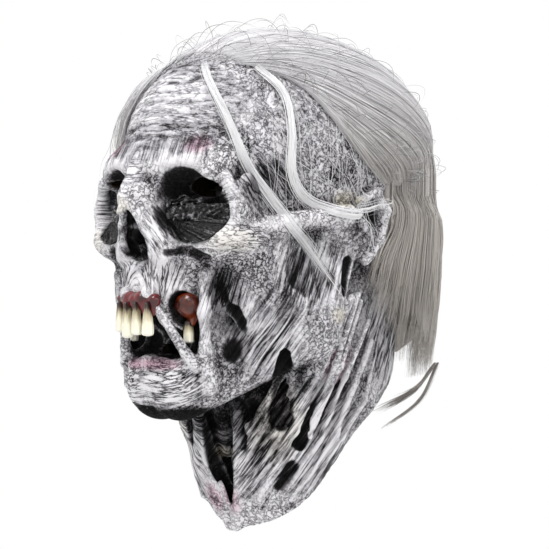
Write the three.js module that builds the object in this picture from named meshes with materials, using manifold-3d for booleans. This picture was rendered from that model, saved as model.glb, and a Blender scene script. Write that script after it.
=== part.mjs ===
// A full-head latex costume mask: a dried-out skull face on a neck that ends in a pointed bib, with cast teeth
// and gums glued into the mouth, crinkled patches glued into the eye and nose sockets, and grey hair in wefts.
// Millimetres, +Z up, the face looks along -Y, +X is the wearer's left. The origin lies midway between the ears.
import * as THREE from "three";
import { mergeVertices } from "three/addons/utils/BufferGeometryUtils.js";
import Module from "manifold-3d";

// ---------------------------------------------------------------- driving dimensions
const WALL = 2.8; // latex thickness
const GLUE_GAP = 0.6; // clearance between a glued piece and the latex under it
const PATCH_THICK = 2.2; // crinkled latex patches
const GUM_THICK = 3; // gum behind the front teeth
const HAIR_LIFT = 2.8; // hair stands this far off the latex, over its weft bands
const CROWN_THICK = 3; // combed hair on top of the head
const CURTAIN_THICK = 12; // hair where it turns down at the sides and back
const WEFT = { lift: 0.9, thick: 0.8, width: 14 }; // sewn band that carries the hair
const CURTAIN_GAP = 9; // between the crown hair and the hanging hair, across the hinge line
const HEAD_CENTRE = [0, 5, 25]; // rays to the head's surface start here
const NECK_CENTRE = [0, 28, -150]; // and here at the neck opening
const CROWN_RINGS = 8;
const CROWN_DENSITY = 1.4; // how much closer the crown rings stand near the brow than on top
const LOWER_RINGS = 32;
const FACE_DENSITY = 1.15; // how much closer the lower rings stand on the face than on the neck
const SEGMENTS = 50;
const FRONT_DENSITY = 0.5; // how much closer the columns stand on the face than at the nape
const FAR_OUT = 220; // rays start outside everything

// ---------------------------------------------------------------- the head as a smooth field
const lerp = (a, b, t) => a + (b - a) * t;
const lerpPoint = (a, b, t) => a.map((v, i) => lerp(v, b[i], t));
const radians = (degrees) => (degrees * Math.PI) / 180;

// The value at `key` in rows of key and value, straight between rows and level past both ends.
function table(rows, at) {
  const next = rows.findIndex(([key]) => key > at);
  if (next <= 0) return rows[next === 0 ? 0 : rows.length - 1][1];
  const [[k0, v0], [k1, v1]] = [rows[next - 1], rows[next]];
  return lerp(v0, v1, (at - k0) / (k1 - k0));
}

function smoothMin(a, b, k) {
  const h = Math.max(k - Math.abs(a - b), 0) / k;
  return Math.min(a, b) - (h * h * k) / 4;
}

// Signed distance to an ellipsoid turned about Z, near enough for soft blending.
function ball(centre, radii, turn = 0) {
  const [c, s] = [Math.cos(radians(turn)), Math.sin(radians(turn))];
  return (x, y, z) => {
    const [dx, dy, dz] = [x - centre[0], y - centre[1], z - centre[2]];
    const local = [c * dx + s * dy, c * dy - s * dx, dz];
    const k0 = Math.hypot(...local.map((v, i) => v / radii[i]));
    const k1 = Math.hypot(...local.map((v, i) => v / radii[i] ** 2));
    return k0 < 1e-6 ? -Math.min(...radii) : (k0 * (k0 - 1)) / k1;
  };
}

// Signed distance to a rod whose radius changes from one end to the other.
function rod(from, to, r0, r1) {
  const along = to.map((v, i) => v - from[i]);
  const length2 = along.reduce((sum, v) => sum + v * v, 0);
  return (x, y, z) => {
    const d = [x - from[0], y - from[1], z - from[2]];
    const t = THREE.MathUtils.clamp(d.reduce((sum, v, i) => sum + v * along[i], 0) / length2, 0, 1);
    return Math.hypot(...d.map((v, i) => v - t * along[i])) - lerp(r0, r1, t);
  };
}

// Each entry is a shape and how softly it blends into the rest. Shapes off the middle are mirrored.
const CRANIUM = ball([0, 8, 40], [87, 110, 88]);
const FLESH = [
  [rod([0, -100, 32], [44, -88, 30], 13.5, 13), 20], // brow
  [ball([0, -60, -12], [60, 46, 52]), 15], // middle of the face
  [ball([54, -74, -14], [17, 21, 15]), 10], // cheekbone
  [rod([10, -100, -18], [50, -84, -18], 11, 11), 8], // lower rim of the eye socket
  [rod([58, -76, -10], [83, -8, 4], 11, 7), 8], // cheek arch
  [rod([0, -106, 26], [0, -120, 8], 9, 7), 6], // nasal bone
  [ball([0, -78, -46], [34, 36, 30]), 12], // upper jaw
  [ball([0, -73, -78], [36, 34, 34]), 12], // behind the mouth
  [ball([60, -46, -44], [20, 38, 36], -19), 12], // cheek
  [rod([9, -83, -109], [62, -20, -72], 21.5, 19), 12], // lower jaw
  [rod([62, -20, -70], [72, -4, -14], 20, 15), 14], // jaw branch
  [rod([0, 42, -40], [0, 40, -105], 66, 62), 16], // nape
  [rod([0, 12, -100], [0, 9, -155], 54, 52), 14], // neck
  [rod([0, 9, -155], [0, 36, -208], 52, 50), 10], // bib
  [ball([84, 18, -8], [9, 15, 24]), 6], // ear
];
const HOLLOWS = [
  [ball([38, -104, 10], [25, 22, 24], 25), 5], // eye socket
  [ball([72, -66, 22], [12, 24, 17], -32), 12], // temple
  [ball([31, -110, -27], [15, 11, 9], 25), 6], // under the cheekbone
  [ball([82, -26, -30], [9, 24, 20], -22), 10], // below the cheek arch
  [rod([0, -122, 0], [0, -118, -20], 6, 11), 4], // nose
  [rod([0, -114, -62], [0, -110, -80], 11, 19), 5], // mouth
  [rod([18, -104, -84], [22, -98, -86], 10, 8), 5], // mouth corner
  [rod([29, -98, -58], [27, -98, -80], 10, 7), 4], // front cheek window
  [rod([48, -80, -68], [45, -78, -86], 8, 6), 4], // rear cheek window
  [rod([8, -42, -146], [2, -20, -196], 13, 4), 5], // open throat
  [rod([34, -30, -148], [30, -22, -178], 7, 5), 6], // between the neck cords
];

function headField(x, y, z, plain = false) {
  const side = Math.abs(x);
  let d = CRANIUM(side, y, z);
  for (const [shape, blend] of FLESH) d = smoothMin(d, shape(side, y, z), blend);
  if (!plain) for (const [shape, blend] of HOLLOWS) d = -smoothMin(-d, shape(side, y, z), blend);
  return d;
}

// The farthest point along a ray where the field rises past `level`, as a distance from the ray's start.
function reach(from, direction, level = 0, plain = false) {
  const value = (r) => headField(...from.map((v, i) => v + r * direction[i]), plain) - level;
  const step = 1.5;
  let outside = FAR_OUT;
  while (outside > step && value(outside - step) > 0) outside -= step;
  let inside = outside - step;
  for (let i = 0; i < 18; i += 1) {
    const middle = (inside + outside) / 2;
    if (value(middle) > 0) outside = middle;
    else inside = middle;
  }
  return outside;
}

const walk = (from, direction, r) => from.map((v, i) => v + r * direction[i]);

// Unit direction: azimuth 0 is straight ahead, 90 the wearer's left, and elevation is above the horizon.
function direction(azimuth, elevation) {
  const [a, e] = [radians(azimuth), radians(elevation)];
  return [Math.sin(a) * Math.cos(e), -Math.cos(a) * Math.cos(e), Math.sin(e)];
}

// ---------------------------------------------------------------- closed meshes from grids of points
function geometryOf(points, triangles) {
  const geometry = new THREE.BufferGeometry();
  geometry.setAttribute("position", new THREE.Float32BufferAttribute(points.flat(), 3));
  geometry.setIndex(triangles.flat());
  return geometry;
}

// A dome-shaped shell. Rows run down from a pole, columns go round, and both skins meet at the last row.
function domeShell(rows, columns, outer, inner, outerPole, innerPole) {
  const points = [outerPole, innerPole];
  for (const skin of [outer, inner])
    for (let i = 0; i < rows; i += 1) for (let j = 0; j < columns; j += 1) points.push(skin(i, j));
  const at = (skin, i, j) => 2 + (skin * rows + i) * columns + (j % columns);
  const triangles = [];
  for (let j = 0; j < columns; j += 1) {
    triangles.push([0, at(0, 0, j), at(0, 0, j + 1)], [1, at(1, 0, j + 1), at(1, 0, j)]);
    for (let i = 0; i + 1 < rows; i += 1) {
      const [a, b, c, d] = [at(0, i, j), at(0, i + 1, j), at(0, i + 1, j + 1), at(0, i, j + 1)];
      triangles.push([a, b, c], [a, c, d]);
      const [e, f, g, h] = [at(1, i, j), at(1, i + 1, j), at(1, i + 1, j + 1), at(1, i, j + 1)];
      triangles.push([e, g, f], [e, h, g]);
    }
    const [a, b, c, d] = [at(0, rows - 1, j), at(1, rows - 1, j), at(1, rows - 1, j + 1), at(0, rows - 1, j + 1)];
    triangles.push([a, b, c], [a, c, d]);
  }
  return geometryOf(points, triangles);
}

// A closed body of rings between two end points. `ring(i, j)` gives the points, seen going round from outside.
function ringBody(rows, columns, ring, start, end) {
  const points = [start, end];
  for (let i = 0; i < rows; i += 1) for (let j = 0; j < columns; j += 1) points.push(ring(i, j));
  const at = (i, j) => 2 + i * columns + (j % columns);
  const triangles = [];
  for (let j = 0; j < columns; j += 1) {
    triangles.push([0, at(0, j), at(0, j + 1)], [1, at(rows - 1, j + 1), at(rows - 1, j)]);
    for (let i = 0; i + 1 < rows; i += 1) {
      const [a, b, c, d] = [at(i, j), at(i + 1, j), at(i + 1, j + 1), at(i, j + 1)];
      triangles.push([a, b, c], [a, c, d]);
    }
  }
  return geometryOf(points, triangles);
}

// A sheet with two faces. `outer` and `inner` give points for u and v from 0 to 1; u x v faces outwards.
function sheet(columns, rows, outer, inner) {
  const points = [];
  for (const skin of [outer, inner])
    for (let i = 0; i <= rows; i += 1)
      for (let j = 0; j <= columns; j += 1) points.push(skin(j / columns, i / rows));
  const at = (skin, i, j) => (skin * (rows + 1) + i) * (columns + 1) + j;
  const triangles = [];
  const quad = (a, b, c, d) => triangles.push([a, b, c], [a, c, d]);
  for (let i = 0; i < rows; i += 1)
    for (let j = 0; j < columns; j += 1) {
      quad(at(0, i, j), at(0, i, j + 1), at(0, i + 1, j + 1), at(0, i + 1, j));
      quad(at(1, i, j), at(1, i + 1, j), at(1, i + 1, j + 1), at(1, i, j + 1));
    }
  for (let j = 0; j < columns; j += 1) {
    quad(at(0, 0, j + 1), at(0, 0, j), at(1, 0, j), at(1, 0, j + 1));
    quad(at(0, rows, j), at(0, rows, j + 1), at(1, rows, j + 1), at(1, rows, j));
  }
  for (let i = 0; i < rows; i += 1) {
    quad(at(0, i, 0), at(0, i + 1, 0), at(1, i + 1, 0), at(1, i, 0));
    quad(at(0, i + 1, columns), at(0, i, columns), at(1, i, columns), at(1, i + 1, columns));
  }
  return geometryOf(points, triangles);
}

// ---------------------------------------------------------------- boolean cuts
const wasm = await Module();
wasm.setup();

function solidOf(geometry) {
  const bare = geometry.clone();
  for (const name of Object.keys(bare.attributes)) if (name !== "position") bare.deleteAttribute(name);
  const merged = mergeVertices(bare, 1e-3);
  return new wasm.Manifold(
    new wasm.Mesh({
      numProp: 3,
      vertProperties: new Float32Array(merged.attributes.position.array),
      triVerts: new Uint32Array(merged.index.array),
    }),
  );
}

function geometryFrom(solid) {
  const { vertProperties, triVerts } = solid.getMesh();
  const geometry = new THREE.BufferGeometry();
  geometry.setAttribute("position", new THREE.BufferAttribute(vertProperties, 3));
  geometry.setIndex(new THREE.BufferAttribute(triVerts, 1));
  return geometry;
}

const cut = (geometry, ...tools) =>
  geometryFrom(tools.reduce((solid, tool) => solid.subtract(solidOf(tool)), solidOf(geometry)));

const overlap = (geometry, other) => geometryFrom(solidOf(geometry).intersect(solidOf(other)));

// A rounded plug along Y that punches a hole through a wall of the face.
function plug(centre, width, height, depth, turn = 0) {
  const tool = new THREE.CylinderGeometry(1, 1, depth, 16);
  tool.scale(width / 2, 1, height / 2);
  tool.rotateZ(radians(turn));
  tool.translate(...centre);
  return tool;
}

// ---------------------------------------------------------------- the group and its materials
const mask = new THREE.Group();
const material = (color, roughness, metalness = 0) =>
  new THREE.MeshStandardMaterial({ color, roughness, metalness });
const LATEX = material(0xb4b2b4, 0.75);
const BLACK_LATEX = material(0x1c1a1c, 0.45);
const GUM = material(0x6e1c22, 0.2);
const TOOTH = material(0xe6e2c0, 0.3);
const HAIR = material(0xc9c6c3, 0.5);
const WEFT_CLOTH = material(0x8d8a88, 0.9);

function add(name, geometry, look) {
  const mesh = new THREE.Mesh(geometry, look);
  mesh.name = name;
  mask.add(mesh);
  return mesh;
}

const SIDES = [
  ["left", 1],
  ["right", -1],
];

// ---------------------------------------------------------------- latex skin
// The bib's edge as height against depth: low and pointed in front, high at the nape.
const BIB_EDGE = [
  [-40, -216],
  [-14, -212],
  [-8, -208],
  [1, -191],
  [12, -174],
  [32, -155],
  [46, -139],
  [60, -122],
  [90, -96],
  [130, -84],
];

// How steeply a ray from the neck's middle has to climb to meet the bib's edge.
function edgeElevation(azimuth) {
  let [low, high] = [-75, 60];
  for (let i = 0; i < 20; i += 1) {
    const middle = (low + high) / 2;
    const aim = direction(azimuth, middle);
    const [, y, z] = walk(NECK_CENTRE, aim, reach(NECK_CENTRE, aim));
    if (z > table(BIB_EDGE, y)) high = middle;
    else low = middle;
  }
  return (low + high) / 2;
}

const COLUMN_AZIMUTHS = Array.from({ length: SEGMENTS }, (_, j) => {
  const turn = (2 * Math.PI * j) / SEGMENTS;
  return THREE.MathUtils.radToDeg(turn - FRONT_DENSITY * Math.sin(turn));
});
const COLUMN_EDGES = COLUMN_AZIMUTHS.map(edgeElevation);
const RINGS = CROWN_RINGS + LOWER_RINGS;
const UP = [0, 0, 1];

// Where the ray of ring i and column j starts and where it points.
function latticeRay(i, j) {
  if (i < CROWN_RINGS) {
    const elevation = 90 * (1 - (i + 1) / CROWN_RINGS) ** CROWN_DENSITY;
    return [HEAD_CENTRE, direction(COLUMN_AZIMUTHS[j], elevation)];
  }
  const down = ((i + 1 - CROWN_RINGS) / LOWER_RINGS) ** FACE_DENSITY;
  const from = lerpPoint(HEAD_CENTRE, NECK_CENTRE, down);
  return [from, direction(COLUMN_AZIMUTHS[j], COLUMN_EDGES[j] * down)];
}

// How far each ray of the lattice runs before it leaves the head for good.
const LATTICE_REACH = Array.from({ length: RINGS }, (_, i) =>
  Array.from({ length: SEGMENTS }, (__, j) => reach(...latticeRay(i, j))),
);

function skinPoint(i, j, depth = 0) {
  const [from, aim] = latticeRay(i, j);
  const outside = LATTICE_REACH[i][j];
  return walk(from, aim, depth ? Math.min(reach(from, aim, -depth), outside - depth) : outside);
}

function latexSkin() {
  const crown = reach(HEAD_CENTRE, UP);
  const shell = domeShell(
    RINGS,
    SEGMENTS,
    (i, j) => skinPoint(i, j),
    (i, j) => skinPoint(i, j, WALL),
    walk(HEAD_CENTRE, UP, crown),
    walk(HEAD_CENTRE, UP, crown - WALL),
  );
  return cut(
    shell,
    ...SIDES.flatMap(([, side]) => [
      plug([37 * side, -95, 22], 30, 14, 60, 25 * side), // sight slot at the top of the eye socket
      plug([6 * side, -110, -5], 6, 9, 50), // nostril
    ]),
    plug([0, -100, -84], 26, 7, 60), // breathing slot in the floor of the mouth
  );
}

// The head filled solid and grown by `gap`. Glued pieces are cut back with it, so they lie on the latex.
function filledHead(gap) {
  const crown = walk(HEAD_CENTRE, UP, reach(HEAD_CENTRE, UP));
  const head = ringBody(RINGS, SEGMENTS, (i, j) => skinPoint(i, j), crown, NECK_CENTRE);
  head.computeVertexNormals();
  const { position, normal } = head.attributes;
  position.array.forEach((value, k) => {
    position.array[k] = value + gap * normal.array[k];
  });
  return head;
}

add("latex_skin", latexSkin(), LATEX);
const CLEAR_OF_HEAD = filledHead(GLUE_GAP);
const PATCH_FACE = filledHead(GLUE_GAP + PATCH_THICK);
const GUM_FACE = filledHead(GLUE_GAP + GUM_THICK);

// A patch of even thickness on the latex, inside the outline of `block`.
const laidOn = (block, face) => cut(overlap(block, face), CLEAR_OF_HEAD);

// ---------------------------------------------------------------- patches, gums and teeth
for (const [name, side] of SIDES) {
  // Its upper edge is free and hangs below the sight slot.
  add(`eye_patch_${name}`, laidOn(plug([35 * side, -92, 2], 34, 26, 50, 25 * side), PATCH_FACE), BLACK_LATEX);
}
add("nose_patch", laidOn(plug([0, -110, -17.5], 15, 13, 40), PATCH_FACE), BLACK_LATEX);
add("upper_gum", laidOn(plug([0, -105, -57], 28, 11, 40), GUM_FACE), GUM);

// A tooth hangs from its root at the origin: flat faced, narrow at the root, with a rounded biting edge.
function tooth(width, height, depth) {
  const bevel = 0.8;
  const half = width / 2 - bevel;
  const outline = new THREE.Shape();
  outline.moveTo(-0.7 * half, -bevel);
  outline.lineTo(-half, -0.75 * height);
  outline.quadraticCurveTo(-half, bevel - height, -0.3 * half, bevel - height);
  outline.lineTo(0.3 * half, bevel - height);
  outline.quadraticCurveTo(half, bevel - height, half, -0.75 * height);
  outline.lineTo(0.7 * half, -bevel);
  outline.closePath();
  const geometry = new THREE.ExtrudeGeometry(outline, {
    depth: depth - 2 * bevel,
    bevelThickness: bevel,
    bevelSize: bevel,
    bevelSegments: 2,
    curveSegments: 3,
  });
  return geometry.rotateX(Math.PI / 2); // height along Z, depth along Y, its front face at -Y
}

// Places a tooth with its root at `root`, turned to face along the azimuth, cut back to clear the latex.
function setTooth(size, root, azimuth) {
  const placed = tooth(...size);
  placed.rotateZ(radians(azimuth));
  placed.translate(...root);
  return cut(placed, CLEAR_OF_HEAD);
}

const FRONT_TEETH = [-13, -4.4, 4.4, 13]; // sideways places
for (const [k, x] of FRONT_TEETH.entries()) {
  const azimuth = x * 1.1; // the row follows the curve of the jaw
  const root = [x, -117 + 0.011 * x * x, -53];
  add(`front_tooth_${k + 1}`, setTooth([8, Math.abs(x) > 5 ? 23 : 25, 5], root, azimuth), TOOTH);
}
for (const [name, side] of SIDES) {
  const flesh = new THREE.SphereGeometry(1, 14, 9);
  flesh.scale(9, 7.5, 8);
  flesh.translate(27 * side, -93, -55);
  add(`cheek_flesh_${name}`, cut(flesh, CLEAR_OF_HEAD), GUM);
  add(`cheek_tooth_${name}`, setTooth([7, 13, 6], [26.5 * side, -90, -67], 20 * side), TOOTH);
}

// ---------------------------------------------------------------- hair
// The hairline as elevation from the head's centre against azimuth, and the hem of the hanging hair as height.
const HAIRLINE = [
  [0, 48],
  [40, 49],
  [66, 42],
  [80, 20],
  [97, 3],
  [180, -4],
];
const HAIR_HEM = [
  [108, -52],
  [118, -78],
  [135, -101],
  [180, -108],
];

const wrapped = (azimuth) => Math.abs(THREE.MathUtils.euclideanModulo(azimuth + 180, 360) - 180);
const hairline = (azimuth) => table(HAIRLINE, wrapped(azimuth));

// A point at a height above the plain head, on a ray from the head's centre.
function overHead(azimuth, elevation, height) {
  const aim = direction(azimuth, elevation);
  return walk(HEAD_CENTRE, aim, reach(HEAD_CENTRE, aim, 0, true) + height);
}

// Hair is thin on top and in front, and thickens down the back of the head.
function crownThickness(azimuth, elevation) {
  const behind = THREE.MathUtils.smoothstep(wrapped(azimuth), 75, 120);
  const low = 1 - THREE.MathUtils.smoothstep(elevation, 0, 60);
  return lerp(CROWN_THICK, CURTAIN_THICK, behind * low);
}

function crownHair() {
  const [rows, columns] = [8, 48];
  const place = (i, j) => {
    const azimuth = (360 * j) / columns;
    return [azimuth, lerp(90, hairline(azimuth), (i + 1) / rows)];
  };
  return domeShell(
    rows,
    columns,
    (i, j) => overHead(...place(i, j), HAIR_LIFT + crownThickness(...place(i, j))),
    (i, j) => overHead(...place(i, j), HAIR_LIFT),
    overHead(0, 90, HAIR_LIFT + CROWN_THICK),
    overHead(0, 90, HAIR_LIFT),
  );
}

// Hanging hair falls straight once it has passed the widest point above it.
function hangPoint(azimuth, z, height) {
  let widest = 0;
  for (let above = z; above < HEAD_CENTRE[2]; above += 5) {
    widest = Math.max(widest, reach([0, HEAD_CENTRE[1], above], direction(azimuth, 0), 0, true));
  }
  return walk([0, HEAD_CENTRE[1], z], direction(azimuth, 0), widest + height);
}

const hingeHeight = (azimuth) => overHead(azimuth, hairline(azimuth), HAIR_LIFT)[2] - CURTAIN_GAP;

function curtain([from, to]) {
  const place = (u, v) => {
    const azimuth = lerp(to, from, u);
    return [azimuth, lerp(hingeHeight(azimuth), table(HAIR_HEM, wrapped(azimuth)), v)];
  };
  const thickness = (v) => {
    const shoulder = lerp(0.4, 1, Math.min(v / 0.12, 1)); // thin at the top, so that it can swing outwards
    return CURTAIN_THICK * shoulder * lerp(1, 0.35, v ** 2);
  };
  return sheet(
    7,
    9,
    (u, v) => hangPoint(...place(u, v), HAIR_LIFT + thickness(v)),
    (u, v) => hangPoint(...place(u, v), HAIR_LIFT),
  );
}

// A band that carries hair, from `high` to `low` millimetres below the line that `edge` gives.
function weft([from, to], edge) {
  const degrees = THREE.MathUtils.radToDeg(WEFT.width / 100);
  const point = (u, v, height) => {
    const azimuth = lerp(to, from, u);
    return overHead(azimuth, edge(azimuth) + degrees * (0.5 - v), height);
  };
  return sheet(
    Math.ceil((to - from) / 5),
    2,
    (u, v) => point(u, v, WEFT.lift + WEFT.thick),
    (u, v) => point(u, v, WEFT.lift),
  );
}

// A lock of hair along a curve: flat, full at its root and thin at its tip. `outward` is the way its face looks.
function lock(pointAt, outward, width, thick, steps = 14) {
  const centres = Array.from({ length: steps + 1 }, (_, i) => new THREE.Vector3(...pointAt(i / steps)));
  const sides = 6;
  const ring = (i, j) => {
    const travel = centres[i + 2].clone().sub(centres[i]).normalize();
    const face = new THREE.Vector3(...outward(centres[i + 1]));
    face.addScaledVector(travel, -face.dot(travel)).normalize();
    const across = face.clone().cross(travel);
    const taper = 1 - 0.7 * ((i + 1) / steps);
    const turn = (2 * Math.PI * j) / sides;
    const point = centres[i + 1].clone().addScaledVector(face, (thick / 2) * taper * Math.cos(turn));
    return point.addScaledVector(across, (width / 2) * taper * Math.sin(turn)).toArray();
  };
  return ringBody(steps - 1, sides, ring, centres[0].toArray(), centres[steps].toArray());
}

const curveThrough = (stops) => new THREE.CatmullRomCurve3(stops.map((stop) => new THREE.Vector3(...stop)));
const awayFromHead = (p) => p.toArray().map((v, i) => v - HEAD_CENTRE[i]);

// A lock that lies on the head. Its stops are azimuth, elevation and height above the head.
function lyingLock(stops, width, thick) {
  const route = curveThrough(stops);
  return lock((t) => overHead(...route.getPoint(t).toArray()), awayFromHead, width, thick);
}

function hangingLock(stops, width, thick) {
  const route = curveThrough(stops);
  return lock((t) => route.getPoint(t).toArray(), awayFromHead, width, thick, 8);
}

const HAIR_SECTORS = { left: [110, 150], back: [153, 207], right: [-150, -110] };
add("crown_hair", crownHair(), HAIR);
add("front_weft", weft([-64, 64], (azimuth) => hairline(azimuth) + 6), WEFT_CLOTH);
for (const [name, sector] of Object.entries(HAIR_SECTORS)) {
  add(`${name}_hair`, curtain(sector), HAIR);
  add(`${name}_weft`, weft(sector, (azimuth) => hairline(azimuth) - 8), WEFT_CLOTH);
}

const LEFT_LOCKS = {
  brow: [[14, 44, 3], [29, 24, 3], [40, 2, 3], [54, -17, 3], [68, -32, 3], [78, -40, 3]],
  temple: [[40, 44, 3], [52, 34, 3], [55, 18, 3], [55, 2, 3], [63, -9, 4], [80, -13, 6], [95, -10, 6], [103, -6, 6]],
};
const RIGHT_LOCKS = {
  brow: [[-22, 44, 3], [-36, 26, 3], [-48, 4, 3], [-62, -14, 3], [-74, -30, 3]],
  temple: [[-60, 41, 3], [-70, 24, 3], [-80, 6, 3], [-92, -6, 3.5], [-102, -14, 4]],
};
for (const [side, locks] of Object.entries({ left: LEFT_LOCKS, right: RIGHT_LOCKS }))
  for (const [name, stops] of Object.entries(locks))
    add(`${name}_lock_${side}`, cut(lyingLock(stops, 7, 3), CLEAR_OF_HEAD), HAIR);
add("upper_tail", hangingLock([[78, 84, -105], [74, 68, -117], [60, 46, -128]], 8, 4), HAIR);
add("lower_tail", hangingLock([[66, 98, -107], [72, 76, -124], [62, 52, -140]], 8, 4), HAIR);

export default mask;
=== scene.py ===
"""Looks of the full-head latex costume mask: sculpted skin, teeth, gums, crinkled patches and hair.

Shapes are worked out in millimetres in the row frame (face along -Y, +X the wearer's left, +Z up) and
scaled to metres when their mesh is made. The skin is a signed distance field that shapes are blended into
and carved out of, meshed with openvdb, wrinkled along the lines of the flesh and painted by attributes.
"""

import math

import bpy
import numpy as np
import openvdb
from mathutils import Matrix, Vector
from mathutils.bvhtree import BVHTree


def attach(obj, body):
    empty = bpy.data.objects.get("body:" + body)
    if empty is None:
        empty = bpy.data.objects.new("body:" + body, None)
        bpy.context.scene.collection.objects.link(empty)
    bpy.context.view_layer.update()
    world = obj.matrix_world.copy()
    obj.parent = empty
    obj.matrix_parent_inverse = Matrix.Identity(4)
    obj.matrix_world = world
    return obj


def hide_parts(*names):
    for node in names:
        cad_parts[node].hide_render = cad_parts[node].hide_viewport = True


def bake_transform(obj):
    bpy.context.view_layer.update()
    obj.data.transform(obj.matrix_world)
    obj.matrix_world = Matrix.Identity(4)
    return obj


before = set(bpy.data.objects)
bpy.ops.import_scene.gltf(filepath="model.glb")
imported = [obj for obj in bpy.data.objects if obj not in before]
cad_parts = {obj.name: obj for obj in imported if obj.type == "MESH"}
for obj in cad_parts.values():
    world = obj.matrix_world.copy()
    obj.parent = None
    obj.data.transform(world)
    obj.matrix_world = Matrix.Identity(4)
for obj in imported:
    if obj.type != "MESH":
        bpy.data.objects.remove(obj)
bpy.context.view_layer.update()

MM = 0.001
VOXEL = 1.05  # size of the sculpting grid
WALL = 2.8  # latex thickness
FAR_AWAY = 60.0  # distance stored where the sculpting grid is empty
HEAD_CENTRE = np.array([0.0, 5.0, 25.0])


# ---------------------------------------------------------------- small maths
def smooth(low, high, value):
    """0 below low, 1 above high, and an S-curve between."""
    t = np.clip((value - low) / (high - low), 0.0, 1.0)
    return t * t * (3.0 - 2.0 * t)


def stacked(*parts):
    """Points from their coordinates, which may be of different shapes."""
    return np.stack(np.broadcast_arrays(*parts), -1)


def smooth_min(a, b, k):
    h = np.maximum(k - np.abs(a - b), 0.0) / k
    return np.minimum(a, b) - h * h * k / 4.0


def aim(azimuth, elevation):
    """Unit vectors for azimuths (0 ahead, 90 the wearer's left) and elevations in degrees."""
    a, e = np.radians(azimuth), np.radians(elevation)
    return np.stack([np.sin(a) * np.cos(e), -np.cos(a) * np.cos(e), np.sin(e)], -1)


def lattice_value(ix, iy, iz, seed):
    """A repeatable value from 0 to 1 for each whole-number point."""
    h = (ix * 374761393 + iy * 668265263 + iz * 2147483647 + seed * 974711) & 0xFFFFFFFF
    h = ((h ^ (h >> 13)) * 1274126177) & 0xFFFFFFFF
    return ((h ^ (h >> 16)) & 0xFFFF) / 65535.0


def noise(points, seed=0):
    """Smooth noise from -1 to 1 with one cell per unit."""
    cell = np.floor(points).astype(np.int64)
    f = points - cell
    f = f * f * f * (f * (f * 6.0 - 15.0) + 10.0)
    total = 0.0
    for dx in (0, 1):
        for dy in (0, 1):
            for dz in (0, 1):
                weight = 1.0
                for axis, corner in enumerate((dx, dy, dz)):
                    weight = weight * (f[..., axis] if corner else 1.0 - f[..., axis])
                ix, iy, iz = (cell[..., axis] + corner for axis, corner in enumerate((dx, dy, dz)))
                total = total + weight * lattice_value(ix, iy, iz, seed)
    return total * 2.0 - 1.0


def ridges(points, seed=0):
    """Noise with sharp creases: 1 on a crest, falling towards -1."""
    return 1.0 - 2.0 * np.abs(noise(points, seed)) ** 0.7


def normalised(v):
    return v / np.maximum(np.linalg.norm(v, axis=-1, keepdims=True), 1e-9)


def catmull(knots, count):
    """Points on a smooth curve through the knots."""
    knots = np.array(knots, float)
    padded = np.concatenate([2 * knots[:1] - knots[1:2], knots, 2 * knots[-1:] - knots[-2:-1]])
    t = np.linspace(0, len(knots) - 1 - 1e-6, count)
    i = t.astype(int)
    f = (t - i)[:, None]
    p0, p1, p2, p3 = (padded[i + k] for k in range(4))
    square = 2 * p0 - 5 * p1 + 4 * p2 - p3
    cube = 3 * p1 - p0 - 3 * p2 + p3
    return 0.5 * (2 * p1 + (p2 - p0) * f + square * f**2 + cube * f**3)


# ---------------------------------------------------------------- the sculpting grid
def ball(centre, radii, turn=0.0):
    """An ellipsoid turned about Z: its distance function and the box it fills."""
    centre, radii = np.array(centre, float), np.array(radii, float)
    c, s = math.cos(math.radians(turn)), math.sin(math.radians(turn))

    def distance(x, y, z):
        dx, dy, dz = x - centre[0], y - centre[1], z - centre[2]
        u, v = c * dx + s * dy, c * dy - s * dx
        k0 = np.sqrt((u / radii[0]) ** 2 + (v / radii[1]) ** 2 + (dz / radii[2]) ** 2)
        k1 = np.sqrt((u / radii[0] ** 2) ** 2 + (v / radii[1] ** 2) ** 2 + (dz / radii[2] ** 2) ** 2)
        return k0 * (k0 - 1.0) / np.maximum(k1, 1e-6)

    reach = np.array([radii[:2].max(), radii[:2].max(), radii[2]])
    return distance, centre - reach, centre + reach


def rod(start, end, r0, r1):
    """A rod with round ends whose radius changes along it."""
    start, end = np.array(start, float), np.array(end, float)
    along = end - start

    def distance(x, y, z):
        dx, dy, dz = x - start[0], y - start[1], z - start[2]
        t = np.clip((dx * along[0] + dy * along[1] + dz * along[2]) / (along @ along), 0.0, 1.0)
        off = (dx - t * along[0]) ** 2 + (dy - t * along[1]) ** 2 + (dz - t * along[2]) ** 2
        return np.sqrt(off) - (r0 + (r1 - r0) * t)

    widest = max(r0, r1)
    return distance, np.minimum(start, end) - widest, np.maximum(start, end) + widest


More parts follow.
